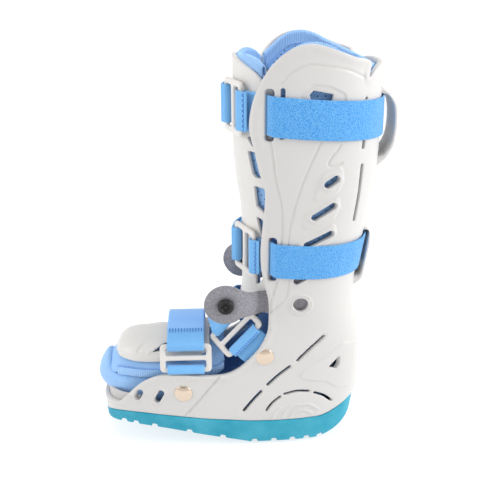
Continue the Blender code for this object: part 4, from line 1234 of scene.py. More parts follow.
def set_coordinates(obj: bpy.types.Object, points: np.ndarray) -> None:
    """Move the corners of a mesh, given in the maker's frame, mm."""
    co = points.copy()
    co[:, 0] += SHIFT
    obj.data.vertices.foreach_set("co", (co * MM).astype(np.float32).ravel())
    obj.data.update()


def finish_piece(obj: bpy.types.Object, finish: Finish, *nodes: str) -> bpy.types.Object:
    """Dress a piece, tie it to the frame and report it.

    Args:
        obj: The finished piece, in place.
        finish: Its material.
        nodes: CAD nodes that it stands for.

    Returns:
        The same object.
    """
    if not obj.data.materials:
        obj.data.materials.append(finish.material())
    obj.data.shade_smooth()
    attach(obj, "root")
    if nodes:
        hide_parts(*nodes)
    obj.data.calc_loop_triangles()
    LOG.info("%s: %d triangles", obj.name, len(obj.data.loop_triangles))
    return obj


class Stamp:
    """Geometry Nodes tree that sets one small shape on every corner of a guide mesh.

    Used for what repeats: stitches and tread bars.
    """

    def __init__(self) -> None:
        """Build the tree once, with its named inputs."""
        tree = bpy.data.node_groups.new("stamp", "GeometryNodeTree")
        face = tree.interface
        face.new_socket("Geometry", in_out="INPUT", socket_type="NodeSocketGeometry")
        self.shape = face.new_socket("Shape", in_out="INPUT", socket_type="NodeSocketObject").identifier
        self.finish = face.new_socket("Finish", in_out="INPUT", socket_type="NodeSocketMaterial").identifier
        self.spread = face.new_socket("Spread", in_out="INPUT", socket_type="NodeSocketFloat").identifier
        self.seed = face.new_socket("Seed", in_out="INPUT", socket_type="NodeSocketInt").identifier
        face.new_socket("Geometry", in_out="OUTPUT", socket_type="NodeSocketGeometry")
        given = add(tree, "NodeGroupInput", {})
        run = add(tree, "GeometryNodeInputNamedAttribute", {"data_type": "FLOAT_VECTOR", "Name": "run"})
        up = add(tree, "GeometryNodeInputNamedAttribute", {"data_type": "FLOAT_VECTOR", "Name": "up"})
        along = add(tree, "FunctionNodeAlignRotationToVector", {"axis": "X"},
                    {"Vector": run.outputs["Attribute"]})
        stand = add(tree, "FunctionNodeAlignRotationToVector", {"axis": "Z", "pivot_axis": "X"},
                    {"Rotation": along.outputs["Rotation"], "Vector": up.outputs["Attribute"]})
        low = add(tree, "ShaderNodeMath", {"operation": "SUBTRACT", 0: 1.0}, {1: given.outputs["Spread"]})
        high = add(tree, "ShaderNodeMath", {"operation": "ADD", 0: 1.0}, {1: given.outputs["Spread"]})
        size = add(tree, "FunctionNodeRandomValue", {"data_type": "FLOAT"},
                   {2: low.outputs["Value"], 3: high.outputs["Value"], "Seed": given.outputs["Seed"]})
        shape = add(tree, "GeometryNodeObjectInfo", {"transform_space": "ORIGINAL"},
                    {"Object": given.outputs["Shape"]})
        set_on = add(tree, "GeometryNodeInstanceOnPoints", {},
                     {"Points": given.outputs["Geometry"], "Instance": shape.outputs["Geometry"],
                      "Rotation": stand.outputs["Rotation"], "Scale": size.outputs[1]})
        real = add(tree, "GeometryNodeRealizeInstances", {}, {"Geometry": set_on.outputs["Instances"]})
        dressed = add(tree, "GeometryNodeSetMaterial", {},
                      {"Geometry": real.outputs["Geometry"], "Material": given.outputs["Finish"]})
        add(tree, "NodeGroupOutput", {}, {"Geometry": dressed.outputs["Geometry"]})
        self.tree = tree

    def put(self, name: str, places: np.ndarray, runs: np.ndarray, ups: np.ndarray, shape: bpy.types.Object,
            finish: Finish, spread: float = 0.05, seed: int = 3) -> bpy.types.Object:
        """Stamp a shape along rows of places.

        Args:
            name: Name of the piece.
            places: Places in the maker's frame, mm.
            runs: Directions of the shape's x at each place.
            ups: Directions of its z.
            shape: Small mesh, in metres round its own middle; removed afterwards.
            finish: Material of the stamped pieces.
            spread: Share by which the sizes differ.
            seed: Seed of the sizes.

        Returns:
            One object with all of them.
        """
        obj = mesh_object(name, places, [], merge=0.0)
        for key, values in (("run", runs), ("up", ups)):
            layer = obj.data.attributes.new(key, "FLOAT_VECTOR", "POINT")
            layer.data.foreach_set("vector", np.asarray(values, np.float32).ravel())
        mod = obj.modifiers.new("stamp", "NODES")
        mod.node_group = self.tree
        mod[self.shape] = shape
        mod[self.finish] = finish.material()
        mod[self.spread] = spread
        mod[self.seed] = seed
        fix_modifiers(obj)
        bpy.data.objects.remove(shape, do_unlink=True)
        return obj


def pill(length: float, wide: float, tall: float, around: int = 8, along: int = 7) -> bpy.types.Object:
    """Small rounded bar along x, for a stitch, a rib or a tread.

    Args:
        length: Length, mm.
        wide: Width, mm.
        tall: Height, mm.
        around: Corners round its section.
        along: Rings along it.

    Returns:
        The object, in metres round its own middle.
    """
    points = [(-0.5 * length, 0.0, 0.0)]
    for k in range(along):
        t = -math.cos(math.pi * (k + 0.8) / (along + 0.6))
        fat = (1.0 - abs(t) ** 3.5) ** 0.5
        for j in range(around):
            a = 2.0 * math.pi * j / around
            points.append((0.5 * length * t, 0.5 * wide * fat * math.cos(a), 0.5 * tall * fat * math.sin(a)))
    points.append((0.5 * length, 0.0, 0.0))
    faces = []
    for j in range(around):
        n = (j + 1) % around
        faces.append((0, 1 + n, 1 + j))
        for k in range(along - 1):
            a = 1 + k * around
            faces.append((a + j, a + n, a + around + n, a + around + j))
        a = 1 + (along - 1) * around
        faces.append((a + j, a + n, len(points) - 1))
    co = np.array(points)
    co[:, 0] -= SHIFT
    return mesh_object("pill", co, faces, merge=0.0)


def frames(line: np.ndarray, ups: np.ndarray) -> tuple[np.ndarray, np.ndarray]:
    """Unit run and square-on up directions along a line of points."""
    run = np.gradient(line, axis=0)
    run /= np.maximum(np.linalg.norm(run, axis=1), 1e-9)[:, None]
    up = ups - run * np.sum(run * ups, axis=1)[:, None]
    return run, up / np.maximum(np.linalg.norm(up, axis=1), 1e-9)[:, None]


class Cushion:
    """Foam pad sewn into knit: its plain form blown up as cloth between pinned seams."""

    def __init__(self, voxel: float = 2.2, shrink: float = 0.9, pressure: float = 4.0, cap: float = 1.2,
                 frames_run: int = 20) -> None:
        """Set how the pad is blown up.

        Args:
            voxel: Size of the remesh, mm.
            shrink: Start this far inside the plain form, mm.
            pressure: Air pressure inside.
            cap: Largest move of a point, mm.
            frames_run: Frames of cloth simulation.
        """
        self.voxel = voxel
        self.shrink = shrink
        self.pressure = pressure
        self.cap = cap
        self.frames_run = frames_run

    def blow(self, obj: bpy.types.Object, seams: Optional[Callable[[np.ndarray], np.ndarray]] = None,
             smooth: int = 6) -> bpy.types.Object:
        """Remesh, shrink, simulate, cap and subdivide a closed form.

        Args:
            obj: The plain form.
            seams: Pin weight, 0 to 1, of points given in the maker's frame, mm.
            smooth: Rounds of smoothing after the remesh.

        Returns:
            The same object with its new mesh.
        """
        mod = obj.modifiers.new("remesh", "REMESH")
        mod.mode = "VOXEL"
        mod.voxel_size = self.voxel * MM
        mod.use_smooth_shade = True
        soft = obj.modifiers.new("soft", "SMOOTH")
        soft.factor = 0.5
        soft.iterations = smooth
        fix_modifiers(obj)
        normals = triples(obj.data.vertices, "normal")
        start = coordinates(obj) - self.shrink * normals
        set_coordinates(obj, start)
        pins = seams(start) if seams is not None else np.zeros(len(start))
        group = obj.vertex_groups.new(name="pins")
        for value in np.unique(np.round(pins[pins > 0.02], 2)):
            ids = np.where(np.abs(np.round(pins, 2) - value) < 1e-6)[0]
            group.add([int(i) for i in ids], float(value), "REPLACE")
        cloth = obj.modifiers.new("cloth", "CLOTH")
        cloth.settings.quality = 5
        cloth.settings.mass = 0.15
        cloth.settings.effector_weights.gravity = 0.0
        cloth.settings.use_pressure = True
        cloth.settings.uniform_pressure_force = self.pressure
        cloth.settings.tension_stiffness = 12.0
        cloth.settings.compression_stiffness = 12.0
        cloth.settings.shear_stiffness = 6.0
        cloth.settings.bending_stiffness = 0.8
        cloth.settings.vertex_group_mass = "pins"
        cloth.collision_settings.use_collision = False
        cloth.collision_settings.use_self_collision = False
        cloth.point_cache.frame_start = 1
        cloth.point_cache.frame_end = self.frames_run
        scene = bpy.context.scene
        for number in range(1, self.frames_run + 1):
            scene.frame_set(number)
        fix_modifiers(obj)
        scene.frame_set(1)
        moved = coordinates(obj)
        step = moved - start
        size = np.linalg.norm(step, axis=1)
        limit = self.cap * np.tanh(size / self.cap)
        step *= (limit / np.maximum(size, 1e-9))[:, None]
        set_coordinates(obj, start + step)
        more = obj.modifiers.new("fine", "SUBSURF")
        more.levels = 1
        more.render_levels = 1
        fix_modifiers(obj)
        return obj


def unwrap(obj: bpy.types.Object, form: Envelope) -> None:
    """Lay texture places round a form: along its wall and up, 100 mm to one."""
    co = coordinates(obj)
    along = form.share(co[:, 0], co[:, 2]) * form.length(co[:, 2]) * np.where(co[:, 1] < 0, 1.0, -1.0)
    lay_uv(obj.data, np.stack([along, co[:, 2]], -1))


def weave(base: Sequence[Sequence[float]], steps_in: Sequence[int]) -> np.ndarray:
    """Catmull-Rom curve through points, with a number of steps in each span."""
    p = np.array(base, float)
    out = []
    for k in range(len(p) - 1):
        p0, p1, p2, p3 = p[max(k - 1, 0)], p[k], p[k + 1], p[min(k + 2, len(p) - 1)]
        t = (np.arange(steps_in[k]) / steps_in[k])[:, None]
        out.append(0.5 * (2 * p1 + (p2 - p0) * t + (2 * p0 - 5 * p1 + 4 * p2 - p3) * t**2
                          + (3 * p1 - p0 - 3 * p2 + p3) * t**3))
    return np.concatenate(out + [p[-1:]])


@dataclass
class Band:
    """Woven band swept along a flat path, with round edges and a texture place along and across."""

    name: str
    origin: tuple[float, float, float]
    e1: tuple[float, float, float]
    e2: tuple[float, float, float]
    across: tuple[float, float, float]
    width: float
    low: list[Point2]
    high: Optional[list[Point2]] = None
    shift: Optional[Callable[[np.ndarray], np.ndarray]] = None
    step: float = 0.9

    def edges(self) -> tuple[np.ndarray, np.ndarray, np.ndarray, np.ndarray]:
        """Middle points and face directions at the lower and the upper edge."""
        lengths = [math.dist(a, b) for a, b in zip(self.low, self.low[1:])]
        counts = [max(int(math.ceil(d / self.step)), 2) for d in lengths]
        e1, e2, across = np.array(self.e1, float), np.array(self.e2, float), np.array(self.across, float)
        out = []
        for path in (self.low, self.high or self.low):
            flat = weave(path, counts)
            d = np.gradient(flat, axis=0)
            d /= np.linalg.norm(d, axis=1)[:, None]
            normal = -d[:, 1:2] * e1 + d[:, 0:1] * e2
            middle = np.array(self.origin, float) + flat[:, 0:1] * e1 + flat[:, 1:2] * e2
            if self.shift is not None:
                middle = middle + self.shift(flat[:, 0])[:, None] * across
            out += [middle, normal]
        return out[0], out[1], out[2], out[3]

    def at(self, w: float, lift: float) -> np.ndarray:
        """Points along the band at a place across it.

        Args:
            w: Place across, -1 to 1.
            lift: Distance above the middle of its thickness.

        Returns:
            Points along the band.
        """
        low, low_n, high, high_n = self.edges()
        share = 0.5 * (w + 1.0)
        middle = (1 - share) * low + share * high
        normal = (1 - share) * low_n + share * high_n
        normal /= np.linalg.norm(normal, axis=1)[:, None]
        return middle + normal * lift + np.array(self.across, float) * (0.5 * self.width * w)

    def build(self) -> bpy.types.Object:
        """Make the band."""
        low, low_n, high, high_n = self.edges()
        r = 0.5 * BAND
        flat_half = 0.5 * self.width - r
        section = [(w, r) for w in np.linspace(-flat_half, flat_half, 14)]
        for k in range(1, 5):
            a = math.pi * k / 5
            section.append((flat_half + r * math.sin(a), r * math.cos(a)))
        section += [(w, -r) for w in np.linspace(flat_half, -flat_half, 14)]
        for k in range(1, 5):
            a = math.pi * k / 5
            section.append((-flat_half - r * math.sin(a), -r * math.cos(a)))
        w = np.array(section)[:, 0]
        n = np.array(section)[:, 1]
        run = np.concatenate([[0.0], np.cumsum(np.linalg.norm(np.diff(0.5 * (low + high), axis=0), axis=1))])
        across = np.array(self.across, float)
        share = (0.5 + w / self.width)[None, :, None]
        middle = (1 - share) * low[:, None] + share * high[:, None]
        normal = (1 - share) * low_n[:, None] + share * high_n[:, None]
        normal /= np.linalg.norm(normal, axis=2)[:, :, None]
        points = middle + normal * n[None, :, None] + across[None, None] * w[None, :, None]
        ends = []
        for at, inner in ((0, 1), (-1, -2)):
            back = points[at] - points[inner]
            back /= np.linalg.norm(back, axis=1)[:, None]
            core = middle[at] + across[None] * (w * (1.0 - 0.4 / flat_half))[:, None]
            ends.append(core + (points[at] - middle[at] - across[None] * w[:, None]) * 0.45 + back * 0.45)
        rings = [ends[0]] + list(points) + [ends[1]]
        run = np.concatenate([run[:1] - 0.4, run, run[-1:] + 0.4])
        uv = np.stack([np.repeat(run, len(w)), np.tile(w, len(run))], -1)
        return loft(self.name, rings, uv=uv)


def hairpin(bar: Point2, away: Point2, side: Point2, count: int = 13, lead: float = 1.6) -> list[Point2]:
    """Half turn of a band round a bar.

    Args:
        bar: Middle of the bar.
        away: Direction from the bar to the band's run.
        side: Direction from the bar to where the turn starts.
        count: Points of the turn.
        lead: Straight length before and after it.

    Returns:
        Points of the path.
    """
    pts = [(bar[0] + LOOP_R * side[0] + lead * away[0], bar[1] + LOOP_R * side[1] + lead * away[1])]
    for k in range(count):
        c = math.cos(math.pi * k / (count - 1))
        s = math.sin(math.pi * k / (count - 1))
        pts.append((bar[0] + LOOP_R * (c * side[0] - s * away[0]),
                    bar[1] + LOOP_R * (c * side[1] - s * away[1])))
    pts.append((bar[0] - LOOP_R * side[0] + lead * away[0], bar[1] - LOOP_R * side[1] + lead * away[1]))
    return pts


@dataclass
class FlatPlate(MouldedWall):
    """Moulded plate in a plane, such as a slide, with fully round bars."""

    centre: tuple[float, float, float] = (0.0, 0.0, 0.0)
    u: tuple[float, float, float] = (1.0, 0.0, 0.0)
    v: tuple[float, float, float] = (0.0, 0.0, 1.0)
    n: tuple[float, float, float] = (0.0, -1.0, 0.0)

    def chart(self, side: np.ndarray) -> np.ndarray:
        """The plate's own u and v are its chart."""
        return side

    def metric(self, z: np.ndarray) -> np.ndarray:
        """The chart is true to size."""
        return np.ones_like(np.asarray(z, float))

    def solid(self, chart: np.ndarray, depth: np.ndarray) -> np.ndarray:
        """Turn chart points into points of the plate at a depth under its outer face."""
        rise = (0.5 * self.thick - depth) * np.ones(len(chart))
        return (np.array(self.centre) + chart[:, 0:1] * np.array(self.u) + chart[:, 1:2] * np.array(self.v)
                + rise[:, None] * np.array(self.n))

    def inner_rows(self) -> list[float]:
        """The under face is shaped like the outer one."""
        return self.outer_rows()

    def inner_depth(self, d: np.ndarray) -> np.ndarray:
        """Depth of the under face at a distance from the edge."""
        return self.thick - self.outer_depth(d)

    def plate(self, outline: np.ndarray, holes: list[np.ndarray]) -> bpy.types.Object:
        """Make the plate from its outline and holes."""
        loop = anticlockwise(outline)
        half = len(loop) // 2
        border = [(loop[:half + 1], True), (np.concatenate([loop[half:], loop[:1]]), True)]
        return self.build(border, holes)


@dataclass
class CellPlate(FlatPlate):
    """Welded air cell seen from the side: a thin flange round a puffed middle."""

    side: float = -1.0
    tab_y: list[Point2] = field(default_factory=list)

    def middle(self, chart: np.ndarray) -> np.ndarray:
        """Distance of the cell's middle from the boot's middle plane."""
        front = Table(self.tab_y).at(chart[:, 0])[:, 0]
        wall = ENVELOPE.halves(chart[:, 1], chart[:, 0], CELL_IN)
        t = smoothstep((chart[:, 0] - 10.4) / 3.0)
        return front * (1.0 - t) + wall * t

    def solid(self, chart: np.ndarray, depth: np.ndarray) -> np.ndarray:
        """Turn chart points into points of the cell at a depth from its middle."""
        y = self.side * (self.middle(chart) - depth * np.ones(len(chart)))
        return np.stack([chart[:, 0], y, chart[:, 1]], -1)

    def puff(self, d: np.ndarray) -> np.ndarray:
        """Half thickness at a distance from the edge."""
        lip = 0.12 * np.exp(-((d - 1.4) / 0.25)**2)
        return 0.42 + (0.5 * self.thick - 0.42) * smoothstep((d - 1.5) / 4.5) + lip

    def outer_rows(self) -> list[float]:
        """Rows that shape the flange, its weld line and the swell."""
        return [0.3, 1.0, 1.4, 1.8, 2.8, 4.2]

    def outer_depth(self, d: np.ndarray) -> np.ndarray:
        """Depth of the outer face, negative outwards."""
        return -self.puff(d) * np.sqrt(np.clip(d / 0.3, 0.0, 1.0))

    def inner_depth(self, d: np.ndarray) -> np.ndarray:
        """Depth of the inner face."""
        return self.puff(d) * np.sqrt(np.clip(d / 0.3, 0.0, 1.0))


def lathe(name: str, profile: Sequence[Point2], at: Sequence[float], normal: Sequence[float],
          around: int = 48) -> bpy.types.Object:
    """Turned solid about an axis.

    Args:
        name: Name of the piece.
        profile: Radius and height along the axis, from top to bottom.
        at: Origin of the axis, mm.
        normal: Direction of the axis.
        around: Corners round it.

    Returns:
        The object.
    """
    turn = np.array(Vector(normal).normalized().to_track_quat("Z", "Y").to_matrix())
    points = []
    loops = []
    for r, h in profile:
        start = len(points)
        if r == 0.0:
            points.append(np.array(at) + turn @ np.array([0.0, 0.0, h]))
            loops.append([start])
            continue
        for k in range(around):
            a = 2.0 * math.pi * k / around
            points.append(np.array(at) + turn @ np.array([r * math.cos(a), r * math.sin(a), h]))
        loops.append(list(range(start, start + around)))
    faces = []
    for a, b in zip(loops, loops[1:]):
        for k in range(around):
            j = (k + 1) % around
            if len(a) == 1:
                faces.append((a[0], b[k], b[j]))
            elif len(b) == 1:
                faces.append((a[k], b[0], a[j]))
            else:
                faces.append((a[k], b[k], b[j], a[j]))
    return mesh_object(name, points, faces, merge=0.0)


def join(name: str, parts: Sequence[bpy.types.Object]) -> bpy.types.Object:
    """Put several meshes into the first one."""
    bm = bmesh.new()
    for part in parts:
        bm.from_mesh(part.data)
    first = parts[0]
    bm.to_mesh(first.data)
    bm.free()
    for part in parts[1:]:
        bpy.data.objects.remove(part, do_unlink=True)
    first.name = name
    first.data.name = name
    return first


# Relief of the shell, seen from the side: name, rise (negative sunk), half width of a line
# or 0 for a filled field, then its points
RELIEF = [
    ("window field", -0.7, 0.0, [(33, 300), (34, 315), (43, 323.5), (56, 322), (68, 316), (70, 300)]),
    ("top step", -0.6, 0.5, [(21, 324), (28, 332), (38, 337), (53, 336), (69, 333), (82, 327)]),
    ("channel front", -0.8, 0.55,
     [(13, 285), (15, 274), (18, 252), (23, 230), (24, 205), (22, 180), (21, 164),
      (16, 144), (16, 134)]),
    ("channel back", -0.65, 0.5, [(52, 285), (48, 275), (38, 248), (31, 218), (29, 200), (30, 180), (30, 159),
                                 (27, 146), (16, 134)]),
    ("tongue groove", -0.7, 0.6, [(66, 278), (57, 264), (59, 262), (68, 264)]),
    ("upper facet", 0.8, 0.0, [(46.3, 233.4), (50.4, 246.2), (53, 256), (68, 262), (70, 250), (66.3, 240.5)]),
    ("middle facet", 0.8, 0.0, [(39.6, 209.3), (42.1, 225), (66.9, 237.2), (68.5, 228), (64.4, 218.6)]),
    ("lower facet", 0.8, 0.0, [(35, 186), (38, 200.5), (64.6, 214.5), (67, 206), (62, 196)]),
    ("heel wedge", 0.8, 0.0,
     [(64, 88), (43, 74), (42, 69), (47, 66), (66, 62), (74, 55), (90, 50), (92, 95), (80, 98)]),
    ("heel arc inner", 0.8, 0.9,
     [(34.5, 27.4), (35.2, 30.2), (38.6, 33.2), (44, 34.4), (49.4, 33.2), (53, 30)]),
    ("heel arc outer", 0.8, 0.9,
     [(27.6, 28.6), (29.6, 34.6), (35.6, 39.4), (44, 41), (52.4, 39.4), (59, 34)]),
    ("heel arc front", 0.7, 0.8, [(18.6, 27.0), (20.4, 33.0), (25.0, 38.4)]),
    ("heel arc low", 0.6, 0.8, [(5.0, 27.4), (9.0, 33.6), (12.4, 37.6)]),
    ("foot crease", -0.8, 0.6, [(-28, 72), (-36, 62), (-46, 49), (-59, 33)]),
    ("foot ridge", 0.6, 1.0, [(-25.6, 72), (-33.6, 62), (-43.6, 49), (-56.6, 33)]),
    ("toe wall line", -0.6, 0.5, [(-118, 38.0), (-126, 37.6), (-131, 37.2)]),
]


@dataclass
class Shell:
    """White moulded shell of leg and foot, with its vents, relief and strap keepers."""

    finish: Finish = SHELL_ABS
    spacing: float = 0.95

    def sole_line(self, xs: np.ndarray, lift: float) -> np.ndarray:
        """Height of the sole's top along the boot, lifted."""
        return SOLE.at(xs)[:, 1] + lift

    def evened(self, wall: MouldedWall, line: np.ndarray) -> np.ndarray:
        """Resample a chart line by its real length."""
        k = wall.metric(line[:, 1])
        real = np.concatenate([[0.0], np.cumsum(np.hypot(np.diff(line[:, 0]) * 0.5 * (k[1:] + k[:-1]),
                                                         np.diff(line[:, 1])))])
        at = np.linspace(0.0, real[-1], max(int(real[-1] / self.spacing), 2))
        return np.stack([np.interp(at, real, line[:, c]) for c in (0, 1)], -1)

    def border(self, wall: MouldedWall) -> tuple[np.ndarray, np.ndarray, np.ndarray, np.ndarray]:
        """Chart lines round the half shell: underside, toe seam, top edge and heel seam."""
        xs = np.concatenate([np.linspace(97.0, 93.6, 4, endpoint=False), np.linspace(93.6, -133.2, 220)])
        ends = self.sole_line(np.array([93.6, -133.0]), FIT)
        out = []
        for side, first, last in ((np.stack([xs, self.sole_line(xs, FIT)], -1), ends[0], ends[1]),
                                  (spline(SHELL_EDGE, 0.9), None, None)):
            share = ENVELOPE.share(side[:, 0], side[:, 1])
            line = wall.chart(side[(share > 1e-3) & (share < 1 - 1e-3)])
            first = line[0, 1] if first is None else first
            last = line[-1, 1] if last is None else last
            out.append(self.evened(wall, np.concatenate([[[0.0, first]], line, [[SPAN, last]]])))
        bottom, top = out[0], out[1][::-1]
        toe = np.stack([np.full(9, SPAN), np.linspace(bottom[-1, 1], top[0, 1], 9)], -1)
        back = np.stack([np.zeros(150), np.linspace(top[-1, 1], bottom[0, 1], 150)], -1)
        return bottom, toe, top, back

    def holes(self) -> list[np.ndarray]:
        """Side-view outlines of the vents, strap slots and rivet holes."""
        out = [slot_outline(width, points) for width, points in VENTS]
        out += [rounded(HEX_VENT, 1.2), rounded(HEEL_VENT, 0.8)]
        for x, z, r in [RING_VENT] + [(x, z, STEM_R + FIT) for x, z in RIVETS]:
            turns = np.linspace(0.0, 2.0 * math.pi, int(9 * r), endpoint=False)
            out.append(np.stack([x + r * np.cos(turns), z + r * np.sin(turns)], -1))
        half = 0.5 * SLOT_TALL
        for _, middle, fall, start in LEG_STRAPS:
            z = middle - fall * start
            out.append(rounded([(start, z - half), (start + SLOT_LONG, z - half),
                                (start + SLOT_LONG, z + half),
                                (start, z + half)], 3.2))
        return out

    def marks(self, holes: list[np.ndarray]) -> list[Mark]:
        """Relief of the outer face."""
        out = []
        for name, rise, half, points in RELIEF:
            if half:
                out.append(Mark(spline(points, 0.8), rise, half))
            else:
                out.append(Mark(rounded(points, 3.0), rise, 0.0, blend=0.7, filled=True))
        for k in range(RIMMED_VENTS):
            out.append(Mark(np.concatenate([holes[k], holes[k][:1]]), 0.75, 1.5))
        for k in TOE_VENTS:
            out.append(Mark(np.concatenate([holes[k], holes[k][:1]]), 0.8, 1.5))
        x, z, r = RING_VENT
        for radius, rise in ((r + 0.8, 0.9), (r + 3.0, 0.6)):
            turns = np.linspace(0.0, 2.0 * math.pi, 61)
            out.append(Mark(np.stack([x + radius * np.cos(turns), z + radius * np.sin(turns)], -1), rise,
                            0.5))
        return out

    def keeper(self, number: int) -> bpy.types.Object:
        """Rounded strap handle on the back of the shell."""
        outer, inner = [spline(line, 1.2) for line in KEEPERS[number]]
        count = 90
        outer = even(outer, 1.0)
        at = np.linspace(0.0, 1.0, count)
        outer = np.stack([np.interp(at, np.linspace(0, 1, len(outer)), outer[:, c]) for c in (0, 1)], -1)
        inner = np.stack([np.interp(at, np.linspace(0, 1, len(inner)), inner[:, c]) for c in (0, 1)], -1)
        rings = []
        for (o1, z1), (o2, z2) in zip(outer, inner):
            b1 = float(ENVELOPE.table.at(np.array(z1))[1]) + o1
            b2 = float(ENVELOPE.table.at(np.array(z2))[1]) + o2
            mid = np.array([0.5 * (b1 + b2), 0.5 * (z1 + z2)])
            half = 0.5 * np.array([b1 - b2, z1 - z2])
            ring = []
            for k in range(44):
                a = 2.0 * math.pi * k / 44
                c, s = math.cos(a), math.sin(a)
                y = KEEPER_HALF * math.copysign(abs(s) ** 0.28, s)
                h = math.copysign(abs(c) ** 0.45, c)
                ring.append((mid[0] + half[0] * h, y, mid[1] + half[1] * h))
            rings.append(np.array(ring))
        return loft("keeper", rings)

    def floor(self) -> bpy.types.Object:
        """Thin floor of the shell on the sole."""
        rings = []
        for x in np.linspace(-129.0, 93.0, 120):
            low = float(SOLE.at(np.array(x))[1]) + FIT
            half = max(float(ENVELOPE.halves(np.array(low + 2.0), np.array(x), WALL)) - 0.15, 2.0)
            rings.append(np.array([(x, -half, low), (x, half, low), (x, half, low + WALL),
                                   (x, -half, low + WALL)]))
        return loft("shell_floor", rings)

    def toe_wall(self) -> bpy.types.Object:
        """Upright toe wall behind the low front edge."""
        wall = MouldedWall("toe_wall", WALL + 0.15, 2.2,
                           [Mark(spline([(-96, 37.2), (-120, 36.6), (-131, 36.4)], 0.8),
                                 -0.5, 0.5)], coarse=1.6, fine=0.9, lip=0.9)
        xs = np.linspace(-99.0, -130.0, 60)
        lines = []
        for z in (33.8, 50.0):
            front = float(ENVELOPE.table.at(np.array(z))[0]) + wall.inset
            side = np.stack([xs[xs > front + 0.4], np.full(int(np.sum(xs > front + 0.4)), z)], -1)
            lines.append(self.evened(wall, np.concatenate([wall.chart(side), [[SPAN, z]]])))
        low, top = lines[0], lines[1][::-1]
        seam = np.stack([np.full(12, SPAN), np.linspace(low[-1, 1], top[0, 1], 12)], -1)
        back = np.stack([np.linspace(top[-1, 0], low[0, 0], 12), np.linspace(top[-1, 1], low[0, 1], 12)], -1)
        border = [(low, True), (np.concatenate([low[-1:], seam[1:-1], top[:1]]), False), (top, True),
                  (back, True)]
        return wall.build(border, [])

    def build(self) -> None:
        """Make the shell."""
        holes = self.holes()
        wall = MouldedWall("shell_wall", 0.0, WALL, self.marks(holes), bead=0.8)
        bottom, toe, top, back = self.border(wall)
        border = [(bottom, True), (np.concatenate([bottom[-1:], toe[1:-1], top[:1]]), False), (top, True),
                  (np.concatenate([top[-1:], back[1:-1], bottom[:1]]), False)]
        finish_piece(wall.build(border, holes, bead_line=top), self.finish, "shell")
        finish_piece(self.floor(), self.finish, "shell")
        # the toe wall's greyer finish is painted shade for its recess behind the low front edge
        finish_piece(self.toe_wall(), TOE_WALL_SHADED_ABS, "shell")
        finish_piece(join("shell_keepers", [self.keeper(0), self.keeper(1)]), self.finish, "shell")


@dataclass
class ShinPanel:
    """White moulded plate over the shin, with slots down both sides."""

    finish: Finish = PANEL_ABS

    def build(self) -> None:
        """Make the panel."""
        marks = [Mark(rounded(points, 1.2), 0.35, 1.0) for points in PANEL_SLOTS[:4]]
        marks = [Mark(np.concatenate([m.line, m.line[:1]]), m.height, m.reach) for m in marks]
        marks.append(Mark(spline([(-30, 262), (-12, 262), (-7, 250), (-5, 220), (-5, 190), (-3, 160)], 0.8),
                          -0.35, 0.5))
        wall = MouldedWall("shin_plate", PANEL_IN, PANEL, marks, coarse=2.6, fine=1.1, lip=0.9, bead=0.4,
                           bead_wide=3.0)
        top = np.array(spline(PANEL_TOP, 0.9))
        front = float(ENVELOPE.table.at(np.array(334.0))[0]) + PANEL_IN
        top = wall.chart(top[(top[:, 0] > front + 0.5) & (top[:, 0] <= PANEL_BACK_X)])
        top = np.concatenate([[[SPAN, top[0, 1] + 0.2]], top])
        low_xs = np.linspace(PANEL_BACK_X, front, 60)
        low = np.stack([low_xs, np.full(60, PANEL_LOW)], -1)
        low_front = float(ENVELOPE.table.at(np.array(PANEL_LOW))[0]) + PANEL_IN
        low = wall.chart(low[low[:, 0] > low_front + 0.4])
        low = np.concatenate([low, [[SPAN, PANEL_LOW]]])
        shell = Shell()
        low = shell.evened(wall, low)
        top = shell.evened(wall, top)
        seam = np.stack([np.full(180, SPAN), np.linspace(PANEL_LOW, top[0, 1], 180)], -1)
        zs = np.linspace(top[-1, 1], PANEL_LOW, 190)
        back = wall.chart(np.stack([np.full(190, PANEL_BACK_X), zs], -1))
        back[0] = top[-1]
        back[-1] = low[0]
        border = [(low, True), (np.concatenate([low[-1:], seam[1:-1], top[:1]]), False), (top, True),
                  (back, True)]
        finish_piece(wall.build(border, [rounded(p, 1.2) for p in PANEL_SLOTS], bead_line=top),
                     self.finish, "shin_panel")


